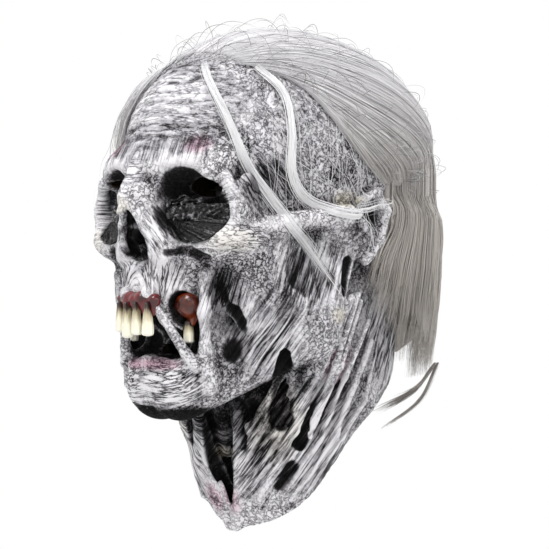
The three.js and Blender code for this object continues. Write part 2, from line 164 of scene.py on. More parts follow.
class Clay:
    """A grid of signed distances that shapes are added to and carved from, mirrored across x = 0."""

    def __init__(self, low, high, voxel):
        self.voxel = voxel
        self.axes = [np.arange(a, b, voxel, dtype=np.float32) for a, b in zip(low, high)]
        self.origin = np.array([axis[0] for axis in self.axes])
        self.field = np.full([len(axis) for axis in self.axes], FAR_AWAY, np.float32)

    def windows(self, low, high, margin, sides):
        """The part of the grid near a box, once for each side of the head."""
        for side in sides:
            x0, x1 = sorted((side * max(low[0] - margin, 0.0), side * (high[0] + margin)))
            ranges = [(x0, x1 if side > 0 else x1 - 1e-3), (low[1] - margin, high[1] + margin)]
            ranges.append((low[2] - margin, high[2] + margin))
            cut = tuple(slice(*np.searchsorted(axis, r)) for axis, r in zip(self.axes, ranges))
            x, y, z = np.ix_(*(axis[c] for axis, c in zip(self.axes, cut)))
            yield cut, np.abs(x), y, z

    def add(self, shape, k, sides=(1, -1)):
        distance, low, high = shape
        for cut, x, y, z in self.windows(low, high, k + WALL + 2.0, sides):
            self.field[cut] = smooth_min(self.field[cut], distance(x, y, z), k)

    def carve(self, shape, k, sides=(1, -1)):
        distance, low, high = shape
        for cut, x, y, z in self.windows(low, high, k + WALL + 2.0, sides):
            self.field[cut] = -smooth_min(-self.field[cut], distance(x, y, z), k)

    def sample(self, points, field=None):
        """Values of a field at points, straight between grid points."""
        field = self.field if field is None else field
        g = (points - self.origin) / self.voxel
        top = np.array(field.shape) - 2
        cell = np.clip(np.floor(g).astype(np.int64), 0, top)
        f = np.clip(g - cell, 0.0, 1.0)
        total = 0.0
        for corner in np.ndindex(2, 2, 2):
            weight = 1.0
            for axis in range(3):
                weight = weight * (f[:, axis] if corner[axis] else 1.0 - f[:, axis])
            i, j, k = (cell[:, axis] + corner[axis] for axis in range(3))
            total = total + weight * field[i, j, k]
        return total

    def blurred(self, radius):
        """The field averaged over a cube: above 0 on a crest of the surface, below 0 in a hollow."""
        n = max(1, int(round(radius / self.voxel)))
        soft = self.field
        for axis in range(3):
            padded = np.pad(soft, [(n + 1, n) if a == axis else (0, 0) for a in range(3)], mode="edge")
            total = np.cumsum(padded, axis=axis, dtype=np.float64)
            upper = np.take(total, range(2 * n + 1, total.shape[axis]), axis=axis)
            lower = np.take(total, range(0, total.shape[axis] - 2 * n - 1), axis=axis)
            soft = ((upper - lower) / (2 * n + 1)).astype(np.float32)
        return soft

    def halved(self):
        """A copy with every other grid point, for broad measures of the shape."""
        copy = Clay.__new__(Clay)
        copy.voxel, copy.origin, copy.field = self.voxel * 2, self.origin, self.field[::2, ::2, ::2]
        return copy

    def surface(self, field):
        """Points and faces (quads) where a field crosses zero."""
        grid = openvdb.FloatGrid(FAR_AWAY)
        grid.copyFromArray(field)
        points, _, quads = grid.convertToPolygons(isovalue=0.0, adaptivity=0.0)
        return points * self.voxel + self.origin, quads


# ---------------------------------------------------------------- the head
# Each entry is a shape and how softly it blends.
def chain(knots, *amounts):
    """Rods through the knots (x, y, z, radius), each with the same amounts after it."""
    return [(rod(a[:3], b[:3], a[3], b[3]), *amounts) for a, b in zip(knots[:-1], knots[1:])]


FLESH = [
    (rod([0, -100, 34], [44, -88, 31], 13, 12), 18),  # brow
    (ball([0, -60, -12], [60, 46, 52]), 15),  # middle of the face
    (ball([56, -76, -13], [16, 21, 12]), 9),  # cheekbone
    (rod([14, -104, -20], [54, -86, -16], 7.5, 8), 8),  # lower rim of the eye socket
    (rod([60, -80, -9], [87, -8, 4], 8, 6), 5),  # cheek arch
    (rod([0, -107, 34], [0, -123, 14], 8.5, 5.0), 6),  # nasal bone
    (rod([9, -106, 16], [20, -106, -24], 5.5, 5.0), 6),  # side of the nose
    (rod([5, -115, 15], [14, -108, -20], 6.0, 5.0), 7),
    (ball([0, -79, -44], [34, 35, 26]), 12),  # upper jaw
    (ball([0, -73, -78], [36, 34, 34]), 12),  # behind the mouth
    (ball([60, -46, -44], [20, 38, 36], -19), 12),  # cheek
    (rod([9, -83, -109], [62, -20, -72], 21.5, 19), 12),  # lower jaw
    (rod([0, -97, -106], [17, -91, -107], 10, 9), 8),  # chin pad
    (rod([62, -20, -70], [72, -4, -14], 20, 15), 14),  # jaw branch
    (rod([0, 42, -40], [0, 40, -105], 66, 62), 16),  # nape
    (rod([0, 12, -100], [0, 9, -155], 54, 52), 14),  # neck
    (rod([0, 9, -155], [0, 36, -208], 52, 50), 10),  # bib
    (ball([83, 16, -6], [6, 13, 21]), 8),  # base of the ear
]
# A hollow also says how dark its inside is painted.
HOLLOWS = [
    (ball([40, -104.5, 5], [26, 27, 20], 25), 3, 1.0),  # eye socket
    (ball([33, -108, 16], [19, 26, 17], 20), 4, 1.0),
    (ball([73, -66, 18], [11, 27, 19], -32), 5, 0.75),  # temple
    (ball([84, -30, -30], [9, 25, 21], -22), 8, 0.45),  # below the cheek arch
    (ball([0, -116, -7], [8, 24, 13]), 2, 1.0),  # nose
    (ball([4.5, -113, -15], [9.5, 22, 10.5]), 2, 1.0),
    (ball([0, -108, -68], [15, 24, 19]), 3, 1.0),  # mouth
    (ball([13, -104, -80], [15, 22, 13]), 3, 1.0),
    # crescent under the cheekbone
    *chain([[25, -110, -22, 2.2], [37, -103, -21, 4], [45, -96, -28, 5.4], [46, -91, -46, 4]], 1.5, 1.0),
    (ball([27, -99, -58], [8.5, 17, 12], 20), 2, 1.0),  # front cheek window
    (ball([31, -94, -73], [7, 15, 15], 25), 2, 1.0),
    (ball([52, -78, -68], [9, 13, 14], 40), 2, 1.0),  # rear cheek window
    (ball([50, -77, -81], [8.5, 13, 13], 40), 2, 1.0),
    (rod([49, -86, -44], [50, -82, -54], 3, 2.5), 2, 0.8),
    (rod([0, -46, -134], [0, -28, -190], 15, 3), 3, 1.0),  # open throat
    (rod([0, -34, -130], [0, -20, -176], 15, 5), 3, 1.0),
    (rod([30, -45, -112], [28, -38, -126], 6, 7.5), 2, 1.0),  # hollows between the neck cords
    (rod([62, -42, -84], [49, -31, -130], 5.5, 8), 3, 1.0),
    (rod([56, -4, -124], [49, -14, -146], 5.5, 5.5), 2, 1.0),
    (rod([46, -18, -163], [40, -23, -175], 4.5, 4), 3, 0.8),
    (rod([26, -42, -138], [24, -42, -148], 2.5, 3), 2, 0.9),
    (rod([67, -38, -62], [63, -38, -76], 2.5, 3), 2, 0.8),
    (rod([84, -5, -27], [82, -7, -47], 3.2, 3.0), 2, 1.0),  # slit behind the jaw
    (ball([92, 12, 3], [7, 7, 9]), 3, 1.0),  # bowl of the ear
    (ball([93, 14, 22], [6, 8, 9]), 4, 0.7),
]
# The throat is open further on the wearer's left.
LEFT_HOLLOW = rod([12, -44, -130], [8, -29, -193], 15, 4)
STRAPS = [
    # upright band between the cheek windows
    *chain([[42, -91, -36, 4.0], [39, -90, -60, 3.4], [38, -88, -84, 3.4], [38, -84, -108, 5]], 6),
    *chain([[10, -114, -47, 3], [19, -107, -64, 2.6], [33, -93, -94, 4]], 3),  # from the lip to the jaw
    (rod([0, -103, -93], [27, -93, -96], 5.5, 4), 3),  # lower lip
    (rod([8, -30, -108], [9, -24, -150], 8.5, 7.5), 3),  # windpipe
    (rod([4, -27, -154], [14, -25, -153], 4.5, 4), 2),
    # edge of the throat
    *chain([[20, -42, -128, 3.5], [18, -39, -158, 4], [12.5, -32, -184, 4], [2, -26, -203, 5]], 4),
    (rod([0, -121, 14], [0, -128, 4], 3.6, 1.8), 3),  # tip of the nasal bone
    *chain([[3.5, -122, 9, 2.2], [10, -116.5, -5, 1.8], [14.5, -110.5, -23, 2.2]], 4),  # edge of the nose
    *chain([[64, -88, -13, 4], [66, -86, 6, 3.4], [59, -90, 25, 4]], 5),  # outer rim of the eye socket
    (ball([64, -76, 6], [5, 14, 23], 12), 5),
    # rim of the ear
    *chain([[86, 4, 12, 2.5], [90, 16, 18, 3], [91, 25, 6, 3], [87, 24, -14, 2.5], [84, 12, -27, 3]], 3),
    (rod([89, 5, -2], [87, 10, -14], 2.5, 2.5), 3),
]
# Cords that fan down the side of the neck from below the jaw and ear and gather at the front.
CORD_TOPS = ([56, -30, -90], [76, -12, -66], [84, 8, -50], [66, 44, -92])
CORD_ENDS = ([17, -44, -160], [26, -37, -176], [36, -26, -186], [52, 2, -168])
CORDS = 13


def neck_cords():
    """Rods along the cords, each in four slightly crooked lengths."""
    rng = np.random.default_rng(5)
    tops = catmull(CORD_TOPS, CORDS)
    ends = catmull(CORD_ENDS, CORDS)
    for top, end in zip(tops, ends):
        middle = (top + end) / 2
        out = normalised(middle * [1.0, 1.0, 0.0] - [0.0, 10.0, 0.0])
        knots = [top, top * 0.67 + end * 0.33, top * 0.33 + end * 0.67, end]
        knots = [knot + out * bulge + rng.normal(0, 1.6, 3) for knot, bulge in zip(knots, (-3, 3, 2, -7))]
        radius = rng.uniform(1.5, 2.8)
        for start, finish in zip(knots[:-1], knots[1:]):
            yield rod(start, finish, radius, radius * rng.uniform(0.7, 1.2)), 2.5


# The lower edge of the neck, from front to back, and its height there.
BIB_EDGE = (
    [-40, -32, -26, -8, 1, 12, 32, 46, 60, 90, 130],
    [-216, -213, -208, -190, -179, -164, -147, -132, -116, -93, -82],
)
# Cut right through the latex.
OPENINGS = [
    ball([37, -90, 20], [15, 22, 7], 25),  # sight slot
    ball([6, -100, -6], [3, 20, 4.5]),  # nostril
    ball([0, -92, -84], [13, 20, 3.5]),  # breathing slot
]


def sculpt_head():
    clay = Clay([-104, -136, -222], [104, 126, 136], VOXEL)
    clay.field[:] = ball([0, 8, 40], [87, 110, 88])[0](*np.ix_(*clay.axes))
    for shape, k in FLESH:
        clay.add(shape, k)
    for shape, k in neck_cords():
        clay.add(shape, k)
    for shape, k, _ in HOLLOWS:
        clay.carve(shape, k)
    clay.carve(LEFT_HOLLOW, 3, sides=(1,))
    for shape, k in STRAPS:
        clay.add(shape, k)
    return clay


def vertex_normals(points, quads):
    a, b, c, d = (points[quads[:, k]] for k in range(4))
    face = np.cross(c - a, d - b)
    total = np.zeros_like(points)
    for k in range(4):
        for axis in range(3):
            total[:, axis] += np.bincount(quads[:, k], weights=face[:, axis], minlength=len(points))
    return total / np.maximum(np.linalg.norm(total, axis=1, keepdims=True), 1e-9)


# ---------------------------------------------------------------- wrinkles and paint
# A family of wrinkles: where it is (centre, radii), the way across its lines (forwards, up), how far apart
# the lines are, how long they run and how high they stand.
WRINKLES = [
    ([10, -95, 78], [70, 60, 40], (0.1, 1.0), 2.6, 7.0, 0.35),  # forehead grain
    ([26, -108, 44], [42, 30, 15], (1.0, -0.25), 2.6, 14.0, 0.55),  # brow
    ([0, -116, 28], [12, 14, 16], (0.0, 1.0), 3.4, 14.0, 0.7),  # bridge
    ([80, -40, 72], [46, 60, 48], (0.8, 0.5), 3.2, 6.0, 0.55),  # side of the head
    ([70, -66, 22], [24, 34, 24], (0.83, 0.55), 2.6, 22.0, 0.6),  # temple
    ([62, -84, -14], [26, 26, 16], (0.35, 0.94), 2.4, 9.0, 0.45),  # cheekbone
    ([16, -108, -6], [14, 20, 22], (0.6, 0.6), 4.0, 6.0, 0.4),  # side of the nose
    ([80, -34, -34], [30, 34, 30], (0.92, -0.3), 3.0, 26.0, 0.7),  # below the arch
    ([58, -52, -72], [30, 34, 40], (0.85, -0.53), 3.6, 34.0, 1.2),  # jaw
    ([50, -6, -140], [40, 50, 50], (0.8, -0.6), 4.6, 60.0, 1.7),  # neck
    ([50, 70, -70], [50, 60, 60], (0.95, -0.3), 5.0, 50.0, 1.0),  # nape
    ([20, -20, -200], [40, 40, 26], (0.7, -0.7), 4.0, 12.0, 0.5),  # bib
    ([0, -28, -150], [16, 20, 46], (0.95, 0.3), 3.5, 16.0, 0.6),  # throat
    ([88, 14, -6], [12, 20, 26], (0.6, 0.8), 3.2, 5.0, 0.5),  # ear
]
# Where fanned lines spread from: forwards to back along the side of the face, and up.
LIP_FAN, CHIN_FAN, EYE_FAN = (-68.0, -78.0), (-62.0, -74.0), (-48.0, 6.0)
# Where each run of fine lines shows: centres and radii.
FLOWS = {
    "level": [([10, -95, 78], [80, 60, 46]), ([0, -116, 28], [12, 14, 16]), ([60, -84, -12], [34, 40, 14])],
    "steep": [
        ([26, -108, 44], [42, 30, 15]),
        ([80, -34, -34], [34, 44, 34]),
        ([50, -82, -58], [26, 30, 36]),
        ([50, 70, -70], [60, 66, 66]),
    ],
    "down": [
        ([58, -52, -72], [34, 40, 44]),
        ([50, -6, -140], [50, 56, 60]),
        ([24, -34, -150], [34, 36, 50]),
    ],
    "up": [([70, -66, 22], [26, 34, 24]), ([16, -108, -8], [14, 20, 26]), ([30, -100, 8], [26, 20, 30])],
    "fan": [([16, -108, -38], [32, 20, 20]), ([16, -96, -106], [36, 30, 24]), ([56, -90, 8], [16, 22, 22])],
}


ROUND_MIDDLE = 6.0  # how far from the middle the lines of one side start to meet the other's


def sideways(points):
    """Distance forwards to back along the side of the face, the same on both sides."""
    return (np.hypot(points[:, 0], ROUND_MIDDLE) + points[:, 1]) * math.sqrt(0.5)


def near(points, centre, radii):
    """1 at a centre, fading to 0 at the radii."""
    d = np.stack([np.abs(points[:, 0]), points[:, 1], points[:, 2]], 1) - np.array(centre, float)
    return 1.0 - smooth(0.35, 1.0, np.linalg.norm(d / np.array(radii, float), axis=1))


def polar(r, z, centre, below=False):
    """Angle and distance from a fan's centre. The angle's jump lies below the centre, or above it for a fan
    whose lines are below."""
    rise = centre[1] - z if below else z - centre[1]
    return np.arctan2(r - centre[0], rise), np.hypot(r - centre[0], rise)


def wrinkle_height(points):
    """Height of the fine wrinkles, about -1 to 1, and how far they stand out in millimetres."""
    r, z = sideways(points), points[:, 2]
    bend = 2.2 * noise(points / 22.0, 5)
    depth = (points[:, 0] - points[:, 1]) * math.sqrt(0.5)
    height, weight, size = np.zeros(len(points)), np.full(len(points), 0.02), np.zeros(len(points))
    families = []
    for index, (centre, radii, (forward, up), apart, run, tall) in enumerate(WRINKLES):
        across = (forward * r + up * z) / math.hypot(forward, up) + bend
        along = (up * r - forward * z) / math.hypot(forward, up)
        families.append((near(points, centre, radii), across / apart, along / run, tall, index))
    # Lines that gather above the mouth, run round the chin and fan out from the eye.
    angle, far = polar(r, z, LIP_FAN)
    families.append((near(points, [16, -108, -38], [32, 20, 22]), angle * 14, far / 26, 0.8, 20))
    angle, _ = polar(r, z, CHIN_FAN, below=True)
    far = np.hypot(r - CHIN_FAN[0], (z - CHIN_FAN[1]) * 0.9)
    families.append((near(points, [14, -96, -104], [34, 26, 24]), (far + bend) / 3.2, angle * 2, 0.7, 21))
    angle, far = polar(r, z, EYE_FAN)
    families.append((near(points, [56, -90, 8], [16, 22, 26]), angle * 13, far / 16, 0.6, 22))
    for here, across, along, tall, index in families:
        q = stacked(across, along, depth / 16.0)
        lines = 0.62 * ridges(q, index) + 0.38 * noise(q * [2.1, 1.9, 1.0], index + 50)
        height += here * lines
        size += here * tall
        weight += here
    return height / weight, size / weight


def flow_weights(points):
    """How much each run of fine lines shows at each point, and the two coordinates of the fanned lines."""
    r, z = sideways(points), points[:, 2]
    weights = {}
    for name, spots in FLOWS.items():
        weights[name] = np.max([near(points, *spot) for spot in spots], axis=0)
    total = sum(weights.values())
    share = 1.0 / np.maximum(total, 1.0)
    lip, chin, eye = polar(r, z, LIP_FAN), polar(r, z, CHIN_FAN, below=True), polar(r, z, EYE_FAN)
    fans = [  # the chin's lines run round it, the others run outwards
        (lip[0] * 14.0, lip[1] * 0.05),
        (chin[1] / 2.6, chin[0] * 2.0),
        (eye[0] * 13.0, eye[1] * 0.06),
    ]
    across, along = np.zeros(len(points)), np.zeros(len(points))
    for spot, (fan_across, fan_along) in zip(FLOWS["fan"], fans):
        here = near(points, *spot) > 0
        across[here], along[here] = fan_across[here], fan_along[here]
    weights = {f"flow_{name}": value * share for name, value in weights.items()}
    weights["flow_none"] = np.clip(1.0 - total, 0.0, 1.0)
    return weights | {"fan_across": across, "fan_along": along}


def forehead_folds(points):
    """Long folds across the forehead, 0 to 1."""
    here = near(points, [0, -98, 74], [62, 50, 40])
    phase = points[:, 2] + 2.4 * noise(points / 26.0, 9) + 0.05 * np.abs(points[:, 0])
    return here * (0.5 + 0.5 * np.sin(phase * (2 * math.pi / 7.0)))


def hollow_paint(points):
    """How far each point lies inside a painted hollow."""
    x, y, z = np.abs(points[:, 0]), points[:, 1], points[:, 2]
    dark = np.zeros(len(points))
    for (distance, _, _), _, depth in HOLLOWS:
        dark = np.maximum(dark, depth * smooth(1.2, -0.8, distance(x, y, z)))
    throat = smooth(1.2, -0.8, LEFT_HOLLOW[0](points[:, 0], y, z))
    dark = np.maximum(dark, throat * (points[:, 0] > 0))
    lit = np.ones(len(points))
    for (distance, _, _), _ in STRAPS:
        lit = np.minimum(lit, smooth(0.2, 2.4, distance(x, y, z)))
    return dark * (0.25 + 0.75 * lit)


# Patches of paint: centre, radii, how much.
PALE = [
    ([0, -126, 7], [7, 9, 13], 0.4),  # nasal bone
    ([58, -92, -12], [22, 20, 10], 0.22),
    ([74, -52, -2], [12, 34, 6], 0.3),  # cheek arch
    ([30, -108, 34], [32, 20, 9], 0.2),  # edge of the brow
    ([10, -20, -204], [36, 40, 22], 0.28),
    ([0, -98, -108], [30, 16, 16], 0.12),
    ([84, -8, 16], [10, 14, 8], 0.25),
    ([78, -12, -62], [12, 12, 8], 0.25),
    ([20, -100, 80], [60, 50, 40], 0.08),
]
# Darker patches: darker paint, and painted shade under the chin and jaw and on the top of the bridge.
DARK_PAINT_AND_SHADE = [
    # painted shade of the chin's underside, over darker paint
    ([0, -70, -130], [46, 54, 18], 0.75),  # under the chin
    ([12, -88, -131], [50, 44, 15], 0.9),
    ([52, -80, -46], [14, 20, 26], 0.36),  # cheek
    ([66, -54, -50], [26, 30, 28], 0.2),
    ([44, -62, -92], [30, 34, 20], 0.16),
    # painted shade under the jaw, over darker paint
    ([62, -30, -110], [22, 26, 32], 0.3),
    # painted shade over the top of the bridge, toning down the light that falls on it
    ([0, -112, 36], [8, 12, 6], 0.12),
    ([10, -26, -205], [30, 30, 14], 0.08),
    ([30, -98, 54], [40, 24, 14], 0.1),
    ([88, 8, -4], [12, 20, 24], 0.2),
    ([72, -62, 22], [16, 26, 22], 0.3),
    ([82, -38, -20], [14, 16, 22], 0.25),
    # painted shade under the jaw, over darker paint
    ([36, -36, -118], [34, 28, 38], 0.42),
    ([84, -10, 30], [12, 20, 14], 0.2),
]
# Where the fine lines are softer (below 0) or sharper.
SHARPNESS = [
    ([10, -95, 80], [80, 64, 46], -0.42),  # forehead
    ([80, -40, 72], [50, 70, 56], -0.36),  # side of the head
    ([26, -108, 44], [42, 30, 15], -0.25),
    ([86, 4, -2], [20, 34, 36], -0.4),  # ear
    ([76, -8, -62], [26, 34, 26], -0.35),
    ([58, -88, -14], [26, 26, 14], 0.35),  # cheekbone
    ([16, -96, -106], [40, 34, 26], 0.3),  # chin
]
BONE = [
    ([0, -126, 6], [8, 10, 13], 0.35),
    ([62, -88, -14], [26, 22, 12], 0.3),
    ([86, -6, 12], [10, 18, 9], 0.8),
    ([78, -14, -62], [14, 14, 9], 0.7),
    ([9, -28, -155], [14, 12, 7], 0.9),
    ([42, -30, -130], [26, 26, 40], 0.35),
]
# Where the raised lines stand out most.
STREAKED = [
    ([50, -10, -140], [50, 60, 64], 1.0),
    ([60, -50, -70], [34, 44, 44], 0.8),
    ([80, -34, -30], [24, 34, 24], 0.5),
]
PLUM = [
    ([40, -98, 48], [14, 14, 9], 0.6),
    ([8, -102, -93], [26, 14, 6], 0.7),
    ([60, 10, -90], [8, 16, 34], 0.75),
    ([8, -36, -184], [10, 12, 16], 0.5),
]


def patches(points, rows):
    total = np.zeros(len(points))
    for centre, radii, amount in rows:
        total = np.maximum(total, amount * near(points, centre, radii))
    return total


def paint(points, clay, lines, folds, inside):
    """Tone from black to white, and how much cream, plum and gloss is over it."""
    coarse = clay.halved()
    edges = np.clip(coarse.sample(points, coarse.blurred(3.0)) / 0.8, -1.0, 1.0)
    broad = np.clip(coarse.sample(points, coarse.blurred(8.0)) / 3.0, -1.0, 1.0)
    dark = hollow_paint(points)
    mottle = noise(points / 9.0, 3)
    speck = noise(points / 1.7, 4)
    streaks = 0.22 + 0.2 * patches(points, STREAKED)
    tone = 0.60 + streaks * lines + 0.18 * (folds - 0.5) * (folds > 0) + 0.16 * edges + 0.14 * broad
    tone += 0.07 * mottle + 0.08 * speck
    # Pale and darker patches of paint; the darker ones under the chin and jaw, and on the top of the
    # bridge, are painted shade.
    tone += patches(points, PALE) - patches(points, DARK_PAINT_AND_SHADE)
    # In the painted hollows only the crests of the wrinkles keep faint pale lines: dry-brushed paint, and
    # painted highlights standing in for the gloss of the black paint.
    tone = tone * (1.0 - dark) + dark * 0.2 * np.maximum(lines, 0.0) ** 2
    tone = np.where(inside, 0.5 + 0.1 * mottle, tone)
    return {
        "tone": np.clip(tone, 0.0, 1.0),
        "bone": patches(points, BONE),
        "plum": patches(points, PLUM),
        "gloss": dark * ~inside,
        # the inside of the latex: raw latex colour, darkened as painted shade of the closed-in inside
        "shaded_raw_latex": inside * 1.0,
        "sharp": 1.0 + sum(amount * near(points, centre, radii) for centre, radii, amount in SHARPNESS),
    }


def mesh_object(name, points, faces, smooth_shading=True):
    """An object from points in millimetres and an array of faces with the same number of corners."""
    corners = faces.shape[1]
    mesh = bpy.data.meshes.new(name)
    mesh.vertices.add(len(points))
    mesh.vertices.foreach_set("co", (points * MM).astype(np.float32).ravel())
    mesh.loops.add(faces.size)
    mesh.loops.foreach_set("vertex_index", faces.astype(np.int32).ravel())
    mesh.polygons.add(len(faces))
    mesh.polygons.foreach_set("loop_start", np.arange(0, faces.size, corners, dtype=np.int32))
    mesh.polygons.foreach_set("use_smooth", np.full(len(faces), smooth_shading))
    mesh.update(calc_edges=True)
    made = bpy.data.objects.new(name, mesh)
    bpy.context.scene.collection.objects.link(made)
    return made


def set_attribute(thing, name, values):
    attribute = thing.data.attributes.new(name, "FLOAT", "POINT")
    attribute.data.foreach_set("value", values.astype(np.float32))


def make_skin(clay):
    x, y, z = np.ix_(*clay.axes)
    edge = np.interp(y, *BIB_EDGE) - z
    shell = np.maximum(np.maximum(clay.field, -(clay.field + WALL)), edge)
    for distance, _, _ in OPENINGS:
        shell = np.maximum(shell, -distance(np.abs(x), y, z))
    shell = shell.astype(np.float32)
    points, quads = clay.surface(shell)
    inside = clay.sample(points) < -0.6 * WALL
    normals = vertex_normals(points, quads)
    lines, size = wrinkle_height(points)
    folds = forehead_folds(points)
    raise_by = np.where(inside, 0.0, 0.75 * size * lines + 1.3 * (folds - 0.5) * (folds > 0))
    skin = mesh_object("skin", points + normals * raise_by[:, None], quads)
    for name, values in (paint(points, clay, lines, folds, inside) | flow_weights(points)).items():
        set_attribute(skin, name, values)
    skin.data.materials.append(latex_material())
    return skin


# ---------------------------------------------------------------- camera and stage
CAMERA_AZIMUTH = math.radians(45)
CAMERA_DISTANCE = 1.4
VIEW_WIDTH = 0.3733  # metres across the picture at the mask
VIEW_CENTRE = (0.0085, -0.0357)  # what the picture's middle shows: sideways and up from the origin


def make_camera():
    back = np.array([math.sin(CAMERA_AZIMUTH), -math.cos(CAMERA_AZIMUTH), 0.0])
    right = np.array([math.cos(CAMERA_AZIMUTH), math.sin(CAMERA_AZIMUTH), 0.0])
    data = bpy.data.cameras.new("camera")
    data.sensor_width = 36.0
    data.lens = data.sensor_width * CAMERA_DISTANCE / VIEW_WIDTH
    camera = bpy.data.objects.new("camera", data)
    camera.location = right * VIEW_CENTRE[0] + back * CAMERA_DISTANCE
    camera.location.z += VIEW_CENTRE[1]
    camera.rotation_euler = (math.pi / 2, 0.0, CAMERA_AZIMUTH)
    bpy.context.scene.collection.objects.link(camera)
    bpy.context.scene.camera = camera


def area_light(name, azimuth, elevation, distance, size, energy):
    data = bpy.data.lights.new(name, "AREA")
    data.size = size
    data.energy = energy
    lamp = bpy.data.objects.new(name, data)
    place = aim(azimuth, elevation) * distance
    lamp.location = place
    lamp.rotation_mode = "QUATERNION"
    lamp.rotation_quaternion = Vector(place).to_track_quat("Z", "Y")
    bpy.context.scene.collection.objects.link(lamp)


# ---------------------------------------------------------------- materials
class Nodes:
    """Short names for building a shader."""

    def __init__(self, name):
        self.material = bpy.data.materials.new(name)
        self.material.use_nodes = True
        self.tree = self.material.node_tree
        self.shader = self.tree.nodes["Principled BSDF"]

    def add(self, kind, **settings):
        node = self.tree.nodes.new(kind)
        for key, value in settings.items():
            setattr(node, key, value)
        return node

    def link(self, source, target):
        self.tree.links.new(source, target)

    def put(self, node, socket, value):
        """Sets a socket to a number or colour, or links it."""
        target = node.inputs[socket]
        if isinstance(value, bpy.types.NodeSocket):
            self.link(value, target)
        else:
            target.default_value = value

    def attribute(self, name):
        return self.add("ShaderNodeAttribute", attribute_name=name).outputs["Fac"]

    def place(self):
        return self.add("ShaderNodeTexCoord").outputs["Object"]

    def noise(self, scale, detail=3.0, rough=0.6, stretch=None):
        where = self.place()
        if stretch:
            mapping = self.add("ShaderNodeMapping")
            mapping.inputs["Scale"].default_value = stretch
            self.link(where, mapping.inputs["Vector"])
            where = mapping.outputs["Vector"]
        return self.noise_over(where, scale, detail, rough)

    def noise_at(self, across, along, depth, detail=3.0, rough=0.62):
        """Noise over coordinates made by other nodes."""
        where = self.add("ShaderNodeCombineXYZ")
        for socket, value in zip("XYZ", (across, along, depth)):
            self.put(where, socket, value)
        return self.noise_over(where.outputs[0], 1.0, detail, rough)

    def noise_over(self, where, scale, detail, rough):
        node = self.add("ShaderNodeTexNoise")
        self.link(where, node.inputs["Vector"])
        for socket, value in (("Scale", scale), ("Detail", detail), ("Roughness", rough)):
            self.put(node, socket, value)
        return node.outputs["Fac"]

    def creases(self, value, sharpness):
        """0 in thin creases, where the value passes its middle, and 1 between them."""
        away = self.math("ABSOLUTE", self.minus(value, 0.5), 0.0)
        return self.math("MULTIPLY", away, sharpness, clamp=True)

    def plus(self, a, b):
        return self.math("ADD", a, b)

    def minus(self, a, b):
        return self.math("SUBTRACT", a, b)

    def times(self, a, b):
        return self.math("MULTIPLY", a, b)

    def math(self, operation, a, b, clamp=False):
        node = self.add("ShaderNodeMath", operation=operation, use_clamp=clamp)
        self.put(node, 0, a)
        self.put(node, 1, b)
        return node.outputs[0]

    def mix(self, amount, a, b, blend="MIX"):
        node = self.add("ShaderNodeMix", data_type="RGBA", blend_type=blend)
        self.put(node, 0, amount)
        self.put(node, 6, a)
        self.put(node, 7, b)
        return node.outputs[2]

    def ramp(self, value, stops):
        node = self.add("ShaderNodeValToRGB")
        while len(node.color_ramp.elements) < len(stops):
            node.color_ramp.elements.new(0.5)
        for element, (place, colour) in zip(node.color_ramp.elements, stops):
            element.position = place
            element.color = (*colour, 1.0)
        self.link(value, node.inputs[0])
        return node.outputs["Color"]

    def bump(self, height, distance, strength=1.0):
        node = self.add("ShaderNodeBump")
        self.put(node, "Height", height)
        self.put(node, "Distance", distance)
        self.put(node, "Strength", strength)
        self.link(node.outputs[0], self.shader.inputs["Normal"])


# Fine lines of the skin: the way across them (forwards, up), how far apart they are and how long they run.
FINE_LINES = {
    "level": ((0.1, 1.0), 0.0030, 0.010),
    "steep": ((0.95, -0.28), 0.0030, 0.045),
    "down": ((0.82, -0.57), 0.0033, 0.060),
    "up": ((0.83, 0.55), 0.0028, 0.020),
}
CREASE = 15.0  # how thin the dark creases are
RAISED_MIDDLE = 0.72  # the average of the fine lines, which leaves the tone as it is


